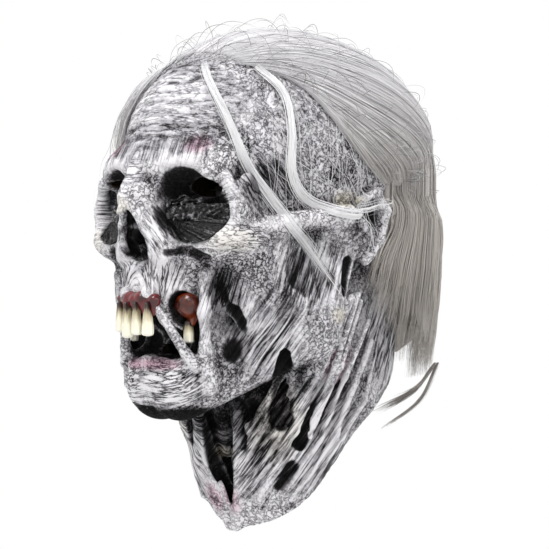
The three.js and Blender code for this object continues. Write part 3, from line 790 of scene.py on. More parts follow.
def latex_material():
    """Latex painted black, then dry-brushed: pale on the raised lines, black in the creases."""
    n = Nodes("painted_latex")
    split = n.add("ShaderNodeSeparateXYZ")
    n.link(n.place(), split.inputs[0])
    x, y, z = split.outputs
    side = n.math("SQRT", n.plus(n.times(x, x), (ROUND_MIDDLE * MM) ** 2), 0.0)
    r = n.times(n.plus(side, y), 0.7071)  # as in sideways
    depth = n.times(n.minus(x, y), 24.0)
    raised = n.times(n.creases(n.noise(300.0, 5.0, 0.62), CREASE), n.attribute("flow_none"))
    for name, ((forward, up), apart, run) in FINE_LINES.items():
        across = n.plus(n.times(r, forward / apart), n.times(z, up / apart))
        along = n.minus(n.times(r, up / run), n.times(z, forward / run))
        lines = n.creases(n.noise_at(across, along, depth), CREASE)
        raised = n.plus(raised, n.times(lines, n.attribute(f"flow_{name}")))
    fan = n.creases(n.noise_at(n.attribute("fan_across"), n.attribute("fan_along"), depth), CREASE)
    raised = n.plus(raised, n.times(fan, n.attribute("flow_fan")))
    grain = n.minus(n.noise(1500.0, 3.0, 0.7), 0.5)
    open_skin = n.minus(1.0, n.attribute("gloss"))
    detail = n.plus(n.times(n.minus(raised, RAISED_MIDDLE), 0.5), n.times(grain, 0.6))
    strength = n.times(n.attribute("sharp"), n.math("MAXIMUM", open_skin, 0.12))
    ramp_input = n.plus(n.attribute("tone"), n.times(detail, strength))
    colour = n.ramp(ramp_input, [
        (0.0, (0.003, 0.003, 0.0035)),
        (0.22, (0.018, 0.017, 0.018)),
        (0.40, (0.112, 0.106, 0.114)),
        (0.58, (0.36, 0.35, 0.372)),
        (0.90, (0.80, 0.785, 0.81)),
    ])
    bone = n.mix(1.0, colour, (0.97, 0.92, 0.70, 1.0), "MULTIPLY")
    colour = n.mix(n.attribute("bone"), colour, bone)
    plum = n.mix(1.0, colour, (0.80, 0.42, 0.54, 1.0), "MULTIPLY")
    colour = n.mix(n.attribute("plum"), colour, plum)
    # Raw latex inside, darkened to dark brown: painted shade of the closed-in inside of the mask.
    inner = n.ramp(n.noise(60.0, 4.0, 0.6), [(0.3, (0.045, 0.036, 0.026)), (0.7, (0.09, 0.072, 0.05))])
    colour = n.mix(n.attribute("shaded_raw_latex"), colour, inner)
    n.put(n.shader, "Base Color", colour)
    rough = n.minus(0.72, n.times(n.attribute("gloss"), 0.12))
    n.put(n.shader, "Roughness", rough)
    n.shader.inputs["Specular IOR Level"].default_value = 0.05
    n.bump(n.plus(raised, grain), 0.0009, 0.8)
    return n.material


def lacquer_material(name, stops, roughness, grain, bump_height, crinkled=False):
    """A wet, glossy surface whose colour runs through the stops with its folds and a fine grain."""
    n = Nodes(name)
    speckle = n.noise(grain, 5.0, 0.65)
    ramp_input = n.plus(n.attribute("tone"), n.times(n.minus(speckle, 0.5), 0.5))
    folds = n.creases(n.noise(230.0, 4.0, 0.6), 5.0) if crinkled else speckle
    if crinkled:  # the crests of the crinkles are painted pale: painted highlights for reflections off the glossy vinyl
        ramp_input = n.plus(ramp_input, n.times(n.minus(0.35, folds), 0.9))
    n.put(n.shader, "Base Color", n.ramp(ramp_input, stops))
    n.put(n.shader, "Roughness", n.plus(roughness, n.times(speckle, 0.15)))
    n.shader.inputs["Coat Weight"].default_value = 0.25
    n.shader.inputs["Coat Roughness"].default_value = 0.12
    n.bump(folds, bump_height, 0.8)
    return n.material


def hair_material(name, stops, roughness, low_stops=None):
    """Hair: each strand has its own shade, with fine streaks along it."""
    n = Nodes(name)
    across, along = n.times(n.attribute("across"), 1.3), n.times(n.attribute("along"), 5.0)
    streak = n.noise_at(across, along, 0.0, 4.0, 0.6)
    shade = n.plus(n.attribute("shade"), n.times(n.minus(streak, 0.5), 0.36))
    colour = n.ramp(shade, stops)
    if low_stops:
        colour = n.mix(n.attribute("low"), colour, n.ramp(shade, low_stops))
    n.put(n.shader, "Base Color", colour)
    n.put(n.shader, "Roughness", roughness)
    n.shader.inputs["Sheen Weight"].default_value = 0.25
    n.shader.inputs["Sheen Roughness"].default_value = 0.4
    n.bump(streak, 0.0006, 0.7)
    return n.material


# ---------------------------------------------------------------- lofted pieces
class Lofts:
    """Closed tubes gathered into one mesh, with values kept at every point."""

    def __init__(self):
        self.points, self.faces, self.values, self.count = [], [], {}, 0

    def add(self, rings, **values):
        """rings is (tubes, rings along, points round, 3). Each value broadcasts to its first three axes."""
        tubes, along, sides, _ = rings.shape
        index = np.arange(tubes * along * sides).reshape(tubes, along, sides) + self.count
        a, b = index[:, :-1], index[:, 1:]
        a_next, b_next = np.roll(a, -1, axis=2), np.roll(b, -1, axis=2)
        walls = [np.stack([a, a_next, b_next], -1), np.stack([a, b_next, b], -1)]
        fan = np.arange(1, sides - 1)
        first, last = index[:, 0], index[:, -1]
        zero = np.zeros_like(fan)
        caps = [np.stack([first[:, zero], first[:, fan + 1], first[:, fan]], -1)]
        caps.append(np.stack([last[:, zero], last[:, fan], last[:, fan + 1]], -1))
        self.faces += [part.reshape(-1, 3) for part in walls + caps]
        self.points.append(rings.reshape(-1, 3))
        for name, value in values.items():
            full = np.broadcast_to(value, rings.shape[:3]).reshape(-1)
            self.values.setdefault(name, []).append(full)
        self.count += index.size

    def tubes(self, paths, widths, outward, sides=3, flat=0.6, **values):
        """Tubes along paths (tubes, points, 3), lying flat on the surface that outward points away from."""
        tangent = normalised(np.gradient(paths, axis=1))
        side = normalised(np.cross(tangent, outward))
        up = np.cross(side, tangent)
        angle = np.arange(sides) * (2 * math.pi / sides) + math.pi / 2
        half = widths[..., None, None] / 2
        rings = paths[:, :, None] + half * (
            side[:, :, None] * np.cos(angle)[:, None] + up[:, :, None] * (flat * np.sin(angle)[:, None])
        )
        self.add(rings, **values)

    def hairs(self, rng, paths, widths, outward, u, shade, flat=0.6):
        """Tubes as strands of hair: u runs from root to tip, and each strand has its own streaks."""
        across = rng.uniform(0, 300, (len(paths), 1, 1))
        shade, along = shade[..., None], u[..., None]
        self.tubes(paths, widths, outward, flat=flat, shade=shade, across=across, along=along)

    def sheet(self, outer, inner, **values):
        """A closed sheet between two grids of points. The values are for the points of one grid."""
        both = {key: np.concatenate([value, value[:, ::-1]], 1)[None] for key, value in values.items()}
        self.add(sheet_rings(outer, inner), **both)

    def made(self, name, material):
        thing = mesh_object(name, np.concatenate(self.points), np.concatenate(self.faces))
        for key, parts in self.values.items():
            set_attribute(thing, key, np.concatenate(parts))
        set_attribute(thing, "low", smooth(110.0, -10.0, np.concatenate(self.points)[:, 2]))
        thing.data.materials.append(material)
        return thing


def sheet_rings(outer, inner):
    """One closed loft from the two faces of a sheet: grids (along, across, 3)."""
    return np.concatenate([outer, inner[:, ::-1]], axis=1)[None]


def stand_in(piece, body, slot, *nodes):
    """Puts a finished piece under its body and hides the CAD nodes that it stands for; slot is not used."""
    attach(piece, body)
    if nodes:
        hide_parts(*nodes)


def hit_skin(clay, start, direction, steps=60):
    """Where rays meet the skin."""
    point = np.array(start, float) + np.zeros_like(direction)
    for _ in range(steps):
        point = point + direction * np.clip(clay.sample(point), -3.0, 6.0)[:, None] * 0.8
    return point


# ---------------------------------------------------------------- patches, gums and teeth
def crinkled_sheet(clay, name, node, centre, radii, turn, free_edge, lift, material, seed):
    """A crumpled patch over the floor of a hollow. Its upper edge is free, and as high as free_edge."""
    columns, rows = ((90, 64))
    u = np.linspace(-0.98, 0.98, columns)
    span = np.sqrt(1.0 - u * u)
    wave = free_edge + 0.16 * np.sin(u * 3.0 + seed) + 0.05 * np.sin(u * 11.0)
    top = np.minimum(span, wave)
    w = np.linspace(0.0, 1.0, rows)[:, None]
    v = -span + w * (top + span)
    inward = np.array([-math.sin(math.radians(turn)), math.cos(math.radians(turn)), 0.0])
    side = np.array([math.cos(math.radians(turn)), math.sin(math.radians(turn)), 0.0])
    up = np.array([0.0, 0.0, 1.0])
    flat = np.array(centre) + side * (u * radii[0] + 0 * v)[..., None] + up * (v * radii[1])[..., None]
    start = flat.reshape(-1, 3) - inward * 30.0
    floor = hit_skin(clay, start, np.broadcast_to(inward, start.shape))
    middle = flat.reshape(-1, 3)
    depth = np.clip((floor - middle) @ inward, -7.0, 4.0)
    rim = smooth(0.55, 1.0, np.hypot(u + 0 * v, v)).reshape(-1)
    across, height = (u + 0 * v).reshape(-1), v.reshape(-1)
    q = stacked(5.0 * across + 2.4 * height, 4.4 * height - 2.8 * across, 0.0)
    warp = noise(q * 0.8, seed) * 0.8
    folds = ridges(q + warp[:, None], seed + 1)
    fine = ridges(q * 2.6 + warp[:, None], seed + 2)
    raise_by = lift + (1.0 - 0.5 * rim) * (2.4 * folds + 1.0 * fine)
    outer = (middle + inward * (depth - raise_by)[:, None]).reshape(rows, columns, 3)
    inner = outer + inward * 1.0
    # tone is higher on the crests of the crinkles, where the vinyl's painted highlights go
    tone = (0.5 + 0.25 * folds + 0.25 * fine).reshape(rows, columns)
    lofts = Lofts()
    lofts.sheet(outer, inner, tone=tone)
    stand_in(lofts.made(name, material), "mask", "patch", node)


def make_patches(clay):
    # The palest stop colours the painted highlights on the crests of the crinkles.
    vinyl = lacquer_material("crinkled_black", [
        (0.0, (0.003, 0.003, 0.003)),
        (0.6, (0.010, 0.009, 0.009)),
        (0.85, (0.05, 0.048, 0.05)),
        (1.0, (0.30, 0.29, 0.31)),
    ], 0.22, 500.0, 0.0016, crinkled=True)
    for side, seed in (("left", 3), ("right", 8)):
        way = 1 if side == "left" else -1
        names = (f"crinkled_patch_{side}", f"eye_patch_{side}")
        crinkled_sheet(clay, *names, (37 * way, -95, 4), (22.5, 20), 22 * way, 0.36, 2.0, vinyl, seed)
    names = ("crinkled_patch_nose", "nose_patch")
    crinkled_sheet(clay, *names, (0, -104, -18), (10, 9), 0, 0.3, 1.5, vinyl, 13)


BLOB_VOXEL = 0.6  # size of the grid for gums and flesh


def blob(name, node, slot, shapes, rough, material, seed):
    """A lumpy piece of flesh from shapes (in place, not mirrored) melted together."""
    low = np.min([shape[1] for shape, _ in shapes], axis=0) - 4.0
    high = np.max([shape[2] for shape, _ in shapes], axis=0) + 4.0
    clay = Clay(low, high, BLOB_VOXEL)
    x, y, z = np.ix_(*clay.axes)
    for (distance, _, _), k in shapes:
        clay.field = smooth_min(clay.field, distance(x, y, z), k)
    points, quads = clay.surface(clay.field.astype(np.float32))
    lumps = noise(points / 5.0, seed) + 0.3 * noise(points / 2.4, seed + 1)
    points = points + vertex_normals(points, quads) * (rough * lumps)[:, None]
    thing = mesh_object(name, points, quads)
    set_attribute(thing, "tone", 0.5 + 0.4 * lumps)
    thing.data.materials.append(material)
    stand_in(thing, "mask", slot, node)


# Each front tooth: how far to the side it stands, its length and its width at the end.
FRONT_TEETH = ((-13.0, 20.0, 7.0), (-4.4, 23.5, 8.4), (4.4, 21.5, 7.2), (13.0, 22.0, 8.0))
GUM_HEIGHT = -53.0


def arch_y(x):
    """How far forward the row of front teeth stands."""
    return -117.0 + 0.011 * x * x


def make_gums():
    red = lacquer_material("wet_red", [
        (0.0, (0.008, 0.001, 0.001)),
        (0.45, (0.05, 0.003, 0.004)),
        (0.75, (0.13, 0.009, 0.012)),
        (1.0, (0.26, 0.03, 0.03)),
    ], 0.1, 420.0, 0.0003)
    amber = lacquer_material("wet_amber", [
        (0.0, (0.010, 0.001, 0.0005)),
        (0.4, (0.05, 0.005, 0.001)),
        (0.75, (0.16, 0.022, 0.003)),
        (1.0, (0.26, 0.05, 0.01)),
    ], 0.12, 300.0, 0.0003)
    along_gum = ((-15, 4), (-6, 5), (6, 5), (15, 4))  # to the side, and radius
    shapes = chain([[x, arch_y(x) + 4, -52, radius] for x, radius in along_gum], 3)
    for x in (-15.5, -8.7, 0, 8.7, 15.5):  # the gum comes down between the teeth
        shapes.append((rod([x, arch_y(x) + 1.5, -52], [x, arch_y(x) + 2, -61], 2.6, 0.9), 2))
    blob("red_gum", "upper_gum", "gum", shapes, 0.5, red, 21)
    for side, way in (("left", 1), ("right", -1)):
        shapes = [(ball([27 * way, -94, -55], [8.4, 7.2, 8.2]), 3)]
        shapes.append((rod([30 * way, -90, -58], [27 * way, -90, -66], 4, 3), 3))
        blob(f"red_flesh_{side}", f"cheek_flesh_{side}", "gum", shapes, 0.25, amber, 30 + way)


def make_tooth(name, node, root, widths, depths, length, turn, lean, material, seed):
    """A long tooth with a narrow root, a fuller end worn flat, and grooves down it."""
    rows, sides = 44, 40
    squareness = 0.72  # of the section: 1 is an ellipse, less is closer to a box
    t = np.linspace(0.0, 1.0, rows)[:, None]
    angle = np.linspace(0, 2 * math.pi, sides, endpoint=False)[None]
    grow = smooth(0.05, 0.8, t)
    worn_end = np.sqrt(1.0 - 0.92 * np.clip((t - 0.93) / 0.07, 0.0, 1.0) ** 2)
    end = worn_end * np.sqrt(np.clip(t / 0.04, 0.05, 1.0))
    half_w = (widths[0] + (widths[1] - widths[0]) * grow) / 2 * end
    half_d = (depths[0] + (depths[1] - depths[0]) * (1.0 - 0.5 * smooth(0.5, 1.0, t))) / 2 * end
    cx, cy = np.cos(angle), np.sin(angle)
    x = half_w * np.sign(cx) * np.abs(cx) ** squareness
    y = half_d * np.sign(cy) * np.abs(cy) ** squareness
    q = stacked(cx * 2.2, cy * 2.2, 1.6 * t)
    groove = ridges(q, seed)
    swell = 1.0 + 0.07 * groove + 0.05 * noise(q * [1, 1, 3.0], seed + 1)
    x, y = x * swell, y * swell
    z = -t * length + 0 * angle
    x = x + lean * t * t
    c, s = math.cos(math.radians(turn)), math.sin(math.radians(turn))
    rings = np.stack([c * x - s * y, s * x + c * y, z + 0 * x], -1) + np.array(root)
    lofts = Lofts()
    lofts.add(rings[None], tone=(t + 0.06 * groove)[None])
    stand_in(lofts.made(name, material), "mask", "tooth", node)


def tooth_material():
    n = Nodes("stained_tooth")
    mottle = n.noise(260.0, 5.0, 0.6, (1.0, 1.0, 0.3))
    down = n.plus(n.attribute("tone"), n.times(n.minus(mottle, 0.5), 0.5))
    n.put(n.shader, "Base Color", n.ramp(down, [
        (0.0, (0.012, 0.005, 0.004)),
        (0.22, (0.05, 0.03, 0.02)),
        (0.40, (0.46, 0.40, 0.26)),
        (0.62, (0.80, 0.76, 0.60)),
        (1.0, (0.82, 0.79, 0.68)),
    ]))
    n.put(n.shader, "Roughness", n.plus(0.18, n.times(mottle, 0.3)))
    n.shader.inputs["Coat Weight"].default_value = 0.3
    n.bump(mottle, 0.0004, 0.6)
    return n.material


def make_teeth():
    enamel = tooth_material()
    for number, (x, length, width) in enumerate(FRONT_TEETH, 1):
        names = (f"long_tooth_{number}", f"front_tooth_{number}")
        root = (x, arch_y(x), GUM_HEIGHT)
        make_tooth(*names, root, (2.4, width), (5, 5.6), length, x * 1.1, 0.02 * x, enamel, number)
    for side, way in (("left", 1), ("right", -1)):
        names = (f"side_tooth_{side}", f"cheek_tooth_{side}")
        root = (26.5 * way, -92, -65)
        make_tooth(*names, root, (4.5, 6.6), (4.5, 5.5), 14.5, 20 * way, 0, enamel, 7 + way)


# ---------------------------------------------------------------- hair
FRONT_EDGE = 46.0  # elevation of the front hairline
CROWN_LOW = -4.0  # elevation where the crown hair ends at the back
CLEAR_OF_HEAD = 128.0  # from the head's centre, outside the skin in every direction


def crown_way(s, t):
    """Direction from the head's centre to a point on the crown. s is across it from -1 to 1, and t is
    back along a strand."""
    s, t = np.broadcast_arrays(s, t)
    a = aim(58.0 * s, FRONT_EDGE - 3.0 * s * s)
    b = aim(180.0 - 76.0 * s, CROWN_LOW + 4.0 * s * s)
    angle = np.arccos(np.clip((a * b).sum(-1), -1, 1))[..., None]
    way = (a * np.sin((1 - t)[..., None] * angle) + b * np.sin(t[..., None] * angle)) / np.sin(angle)
    drop = np.radians(9.0) * np.sin(math.pi * np.clip(t, 0, 1)) * s * s
    level = np.hypot(way[..., 0], way[..., 1])
    elevation = np.arctan2(way[..., 2], level) - drop
    flat = way[..., :2] / np.maximum(level, 1e-6)[..., None]
    return np.concatenate([flat * np.cos(elevation)[..., None], np.sin(elevation)[..., None]], -1)


def over_skin(clay, way, lift):
    """Points above the skin along directions from the head's centre."""
    shape = way.shape[:-1]
    rays = way.reshape(-1, 3)
    found = hit_skin(clay, HEAD_CENTRE + rays * CLEAR_OF_HEAD, -rays)
    return found.reshape(*shape, 3) + way * np.broadcast_to(lift, shape)[..., None]


def taper(t, root=0.3, tip=0.6):
    """Width along a strand: thin at the root and tip."""
    return (0.35 + 0.65 * smooth(0.0, root, t)) * (0.12 + 0.88 * (1.0 - smooth(tip, 1.0, t)))


def crown_hair(clay, rng, material):
    count, along = ((1150, 22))
    lofts = Lofts()
    s = np.linspace(-0.99, 0.99, 60)[None, :]
    t = np.linspace(0.06, 1.0, 44)[:, None]
    way = crown_way(s, t)
    edge = smooth(0.0, 0.25, t) * (1.0 - smooth(0.75, 1.0, np.abs(s)))
    groove = ridges(stacked(s * 34, t * 2.4, 0.0), 61)
    base = over_skin(clay, way, 0.4)
    swell = smooth(0.4, 0.95, t) * (1.0 - np.abs(s) ** 4)
    tuck = 1.0 - 0.55 * smooth(0.8, 1.0, t)
    outer = base + way * (0.5 + 1.6 * edge + 0.4 * groove * edge + 10.0 * swell * tuck)[..., None]
    lofts.sheet(outer, base, shade=0.5 + 0.1 * groove, across=s * 90 + 0 * t, along=t + 0 * s)
    s0 = rng.uniform(-1.0, 1.0, count)
    s0 = np.sign(s0) * np.abs(s0) ** 0.85
    begin = rng.uniform(0.0, 0.12, count)
    begin = begin + np.where(rng.random(count) < 0.25, rng.uniform(0.1, 0.5, count), 0)
    finish = np.minimum(begin + rng.uniform(0.5, 1.0, count), 1.02)
    t = begin[:, None] + (finish - begin)[:, None] * np.linspace(0, 1, along)
    u = np.linspace(0, 1, along)[None]
    sway = noise(stacked(s0[:, None] * 6, t * 2.2, 0.0), 62) * 0.035
    stray = rng.normal(0, 0.03, count)[:, None] * u
    way = crown_way(np.clip(s0[:, None] + sway + stray, -1.03, 1.03), t)
    lift = 1.4 + rng.uniform(0.2, 3.0, count)[:, None] * np.sin(math.pi * np.clip(u, 0.02, 0.98)) ** 0.6
    tuck = 1.0 - 0.6 * smooth(0.76, 0.98, t)
    lift = lift + 14.0 * smooth(0.35, 0.9, t) * (1.0 - np.abs(s0[:, None]) ** 4) * tuck
    paths = over_skin(clay, way, lift)
    widths = rng.uniform(0.45, 1.0, count)[:, None] * taper(u)
    lofts.hairs(rng, paths, widths, way, u, rng.uniform(0.42, 0.66, (count, 1)))
    stand_in(lofts.made("crown_strands", material), "mask", "hair", "crown_hair", "front_weft")


# The hem of the falls: azimuths and heights.
HAIR_HEM = ([105, 108, 118, 135, 180, 225, 242, 252, 255], [-40, -52, -78, -101, -108, -101, -78, -52, -40])
FLUFF = 9.0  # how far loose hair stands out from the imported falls
CLUMPS = 12  # locks that each fall gathers into


WRAP_GRID = (33, 64)  # azimuths and heights that the skin and a fall are measured at
WRAP_HEIGHTS = (-112, 104)
CLEAR_OF_SKIN, CLEAR_OF_HAIR = 118.0, 170.0  # from the head's upright axis


class Wrap:
    """How far out the skin and a hanging piece of hair are at each azimuth and height."""

    def __init__(self, clay, node, low, high):
        self.azimuths = np.linspace(low, high, WRAP_GRID[0])
        self.heights = np.linspace(*WRAP_HEIGHTS, WRAP_GRID[1])
        tree = BVHTree.FromObject(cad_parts[node], bpy.context.evaluated_depsgraph_get())
        flat = aim(self.azimuths, 0.0 * self.azimuths)
        self.skin = np.zeros((len(self.azimuths), len(self.heights)))
        self.outer = np.full_like(self.skin, np.nan)
        axis = np.array([0.0, HEAD_CENTRE[1], 0.0])
        levels = stacked(0.0, 0.0, self.heights)
        for i, out in enumerate(flat):
            start = axis + out * CLEAR_OF_SKIN + levels
            found = hit_skin(clay, start, np.broadcast_to(-out, start.shape))
            self.skin[i] = (found - axis) @ out
            for j, level in enumerate(levels):
                origin = Vector((axis + out * CLEAR_OF_HAIR + level) * MM)
                spot = tree.ray_cast(origin, Vector(-out))[0]
                if spot is not None:
                    self.outer[i, j] = (np.array(spot) / MM - axis) @ out
            known = ~np.isnan(self.outer[i])
            self.outer[i] = np.interp(self.heights, self.heights[known], self.outer[i][known])

    def look_up(self, table, azimuth, z):
        rows, columns = table.shape
        gi = np.clip(np.interp(azimuth, self.azimuths, np.arange(rows)), 0, rows - 1.001)
        gj = np.clip(np.interp(z, self.heights, np.arange(columns)), 0, columns - 1.001)
        i, j = gi.astype(int), gj.astype(int)
        fi, fj = gi - i, gj - j
        near_row = table[i, j] * (1 - fj) + table[i, j + 1] * fj
        far_row = table[i + 1, j] * (1 - fj) + table[i + 1, j + 1] * fj
        return near_row * (1 - fi) + far_row * fi

    def point(self, azimuth, z, under, join):
        """A point under the outer face, or above the skin where z is over the join, and the way out there.
        Below the ear, the front edge of a side fall lies close to the skin and swings forward."""
        azimuth, z, under = np.broadcast_arrays(azimuth, z, under)
        front = np.clip((np.abs(azimuth - 180) - 34) / 36, 0.0, 1.0) ** 2
        fluff = FLUFF * smooth(join + 45, join + 10, z) * (1.0 - front) - 8.0 * front
        hanging = self.look_up(self.outer, azimuth, np.minimum(z, join)) - under + fluff
        lying = self.look_up(self.skin, azimuth, z) + np.maximum(4.5 - 0.4 * under, 0.8)
        lying = lying + 14.0 * smooth(108.0, 48.0, z) * (1.0 - front)
        part = smooth(join + 64.0, join + 4.0, z)
        radius = lying + (hanging - lying) * part
        forward = np.where(azimuth < 180, 12.0, -12.0) * front * smooth(8.0, -34.0, z)
        out = aim(azimuth - forward, 0.0 * azimuth)
        place = out * radius[..., None]
        place[..., 1] += HEAD_CENTRE[1]
        place[..., 2] = z
        out[..., 2] = 1.1 * smooth(join, 104.0, z)
        return place, normalised(out)


def hanging_hair(clay, rng, body, low, high, join, material):
    """One of the three falls of hair, from just above its hinge down to its hem."""
    wrap = Wrap(clay, body, low, high)
    width = (high - low) * 1.9
    count, along = ((int(width * 9.0), 24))
    lofts = Lofts()
    azimuth = np.linspace(low - 1.2, high + 1.2, 48)[None, :]
    fall = np.linspace(0, 1, 40)[:, None]
    at_front = smooth(45.0, 70.0, np.abs(azimuth - 180.0))
    ragged = 14.0 * noise(stacked(azimuth / 2.3, 0.0, 0.0), 70)
    hem = np.minimum(np.interp(azimuth, *HAIR_HEM) + 26.0 + 26.0 * at_front + ragged, join - 22.0)
    z = join + 6.0 + (hem - join - 6.0) * fall
    groove = ridges(stacked(azimuth / 1.4, z / 60, 0.0), 71)
    thin = 1.0 - smooth(0.55, 1.0, fall)
    outer, _ = wrap.point(azimuth, z, 2.8 - 0.5 * groove, join)
    inner, _ = wrap.point(azimuth, z, 4.2 + 5.5 * thin, join)
    lofts.sheet(outer, inner, shade=0.5 + 0.05 * groove, across=azimuth * 1.8 + 0 * z, along=fall + 0 * z)
    start_az = rng.uniform(low - 1.0, high + 1.0, count)
    last = CLUMPS - 1
    which = (start_az - low) / (high - low) * last + rng.normal(0, 0.25, count)
    which = np.clip(np.round(which), 0, last).astype(int)
    clump = low + (high - low) * which / last
    clump_drop = rng.uniform(-6.0, 9.0, CLUMPS)[which]
    u = np.linspace(0, 1, along)[None]
    pull = rng.uniform(0.0, 0.85, count)[:, None] * smooth(0.35, 1.0, u)
    wave = noise(stacked(start_az[:, None] / 7, 2.2 * u + rng.uniform(0, 0.3, count)[:, None], 3.3), 72)
    azimuth = start_az[:, None] + (clump - start_az)[:, None] * pull + 1.6 * wave * u
    azimuth = np.clip(azimuth, low - 1.6, high + 1.6)
    bottom = np.interp(azimuth[:, -1], *HAIR_HEM) + clump_drop
    bottom = bottom + rng.uniform(0.0, 22.0, count) * rng.random(count)
    top = join + 4.0 + 78.0 * rng.random(count) ** 1.2
    z = top[:, None] + (bottom - top)[:, None] * u
    under = rng.uniform(0.3, 4.0, count)[:, None] + 1.0 * wave
    under = under + (8.0 * rng.random(count)[:, None]) * smooth(0.6, 1.0, u) * rng.random(count)[:, None]
    paths, out = wrap.point(azimuth, z, np.maximum(under, 0.2), join)
    widths = rng.uniform(0.4, 1.0, count)[:, None] * taper(u)
    # Strands get lighter towards their tops: painted light, matching the top-lit crown strands that they
    # run into.
    shade = rng.uniform(0.42, 0.66, (count, 1)) + 0.3 * smooth(50.0, 100.0, z)
    lofts.hairs(rng, paths, widths, out, u, shade)
    hair = lofts.made(body.replace("hair", "fall"), material)
    x, y, _ = aim((low + high) / 2, 0.0) * wrap.outer.mean() * MM
    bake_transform(hair)
    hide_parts(body)


def bundle(lofts, rng, path, out, width, thick, hairs, spread, shade):
    """A lock: a smooth flat core with loose hairs along it that part towards the end."""
    count = len(path)
    u = np.linspace(0, 1, count)[None]
    core = width * taper(u, 0.12, 0.45)
    sides = 12
    values = {"shade": shade, "across": np.arange(sides) * 2.3, "along": u[..., None]}
    lofts.tubes(path[None], core, out[None], sides, thick / width, **values)
    row = rng.uniform(0.5, 1.0, (hairs, 1)) * u * (count - 1)
    i = np.minimum(row.astype(int), count - 2)
    spine = path[i] + (path[i + 1] - path[i]) * (row - i)[..., None]
    side = normalised(np.cross(normalised(np.gradient(path, axis=0)), out))[i]
    shift = rng.normal(0, 0.33, (hairs, 1)) * width
    shift = shift + rng.normal(0, spread, (hairs, 1)) * smooth(0.1, 1.0, u)
    shift = shift + 0.5 * noise(stacked(np.arange(hairs)[:, None] * 3.1, u * 5, 0.0), 77)
    rise = np.abs(rng.normal(0, 0.5, (hairs, 1))) * thick + 0 * u
    paths = spine + side * shift[..., None] + out[i] * rise[..., None]
    widths = rng.uniform(0.28, 0.55, (hairs, 1)) * taper(u, 0.1, 0.7)
    lofts.hairs(rng, paths, widths, out[i], u, shade + rng.uniform(-0.2, 0.2, (hairs, 1)))


# Azimuth, elevation and height above the skin along each lock.
LOCKS = {
    "brow_lock_left": [[14, 44, 3], [29, 24, 3], [40, 2, 3], [54, -17, 3], [68, -32, 3], [78, -40, 3]],
    "temple_lock_left": [
        [40, 44, 3], [52, 34, 3], [55, 18, 3], [55, 2, 3],
        [63, -9, 4], [80, -13, 6], [95, -10, 6], [103, -6, 6],
    ],
    "brow_lock_right": [[-22, 44, 3], [-36, 26, 3], [-48, 4, 3], [-62, -14, 3], [-74, -30, 3]],
    "temple_lock_right": [[-60, 41, 3], [-70, 24, 3], [-80, 6, 3], [-92, -6, 3.5], [-102, -14, 4]],
}
# Where each wisp hangs below the ear.
TAILS = {
    "upper_tail": [[80, 86, -96], [75, 70, -114], [60, 46, -128]],
    "lower_tail": [[80, 89, -96], [78, 72, -121], [62, 52, -140]],
}


def make_locks(clay, rng, white):
    for node, knots in LOCKS.items():
        rows = catmull(knots, 44)
        way = aim(rows[:, 0], rows[:, 1])
        path = over_skin(clay, way, rows[:, 2] - 0.6)
        lofts = Lofts()
        bundle(lofts, rng, path, way, 3.3, 1.5, 90, 1.5, 0.72)
        stand_in(lofts.made(node.replace("lock", "strand"), white), "mask", "hair", node)


def make_tails(rng, grey):
    for node, knots in TAILS.items():
        path = catmull(knots, 26)
        out = normalised(path * [1.0, 1.0, 0.0] - [0, HEAD_CENTRE[1], 0])
        lofts = Lofts()
        bundle(lofts, rng, path, out, 2.0, 1.4, 120, 2.6, 0.3)
        stand_in(lofts.made(node.replace("tail", "wisp"), grey), "left_hair", "hair", node)


WIDEST = 110.0  # loose hairs stay this near the middle


def make_flyaways(clay, rng, name, material, count, s_range, t_range, height, length):
    """Loose hairs that stand off the crown."""
    s0 = rng.uniform(*s_range, count)[:, None]
    t0 = rng.uniform(*t_range, count)[:, None]
    u = np.linspace(0, 1, 12)[None]
    s = s0 + rng.normal(0, 0.12, (count, 1)) * u
    way = crown_way(s, t0 + length * rng.uniform(-0.2, 1.0, (count, 1)) * u)
    curl = noise(stacked(s0 * 40, t0 * 40 + 3.0 * u, 0.0), 90)
    lift = 3.0 + rng.uniform(0.3, 1.0, (count, 1)) * height * np.sin(u * 2.6) + 2.0 * curl * u
    paths = over_skin(clay, way, lift)
    paths[..., 0] = np.clip(paths[..., 0], -WIDEST, WIDEST)
    widths = rng.uniform(0.26, 0.46, (count, 1)) * taper(u)
    lofts = Lofts()
    lofts.hairs(rng, paths, widths, way, u, rng.uniform(0.0, 1.0, (count, 1)), flat=1.0)
    stand_in(lofts.made(name, material), "mask", "hair")


def make_loose_hairs(clay, rng, name, material, count, left, azimuths, drift, tops, falls, height):
    """Thin hairs lying over the skin. left is the share of them on the wearer's left."""
    u = np.linspace(0, 1, 16)[None]
    side = np.where(rng.random((count, 1)) < left, 1.0, -1.0)
    azimuth = rng.uniform(*azimuths, (count, 1)) + rng.uniform(*drift, (count, 1)) * u
    azimuth = azimuth + 3.0 * noise(stacked(np.arange(count)[:, None] * 2.7, 2.0 * u, 0.0), 95)
    elevation = rng.uniform(*tops, (count, 1)) - rng.uniform(*falls, (count, 1)) * u
    way = aim(azimuth * side, elevation)
    paths = over_skin(clay, way, 0.8 + rng.uniform(0.1, 1.0, (count, 1)) * height * np.sin(math.pi * u))
    lofts = Lofts()
    widths = rng.uniform(0.22, 0.42, (count, 1)) * taper(u)
    lofts.hairs(rng, paths, widths, way, u, rng.uniform(0.1, 0.8, (count, 1)), flat=1.0)
    stand_in(lofts.made(name, material), "mask", "hair")


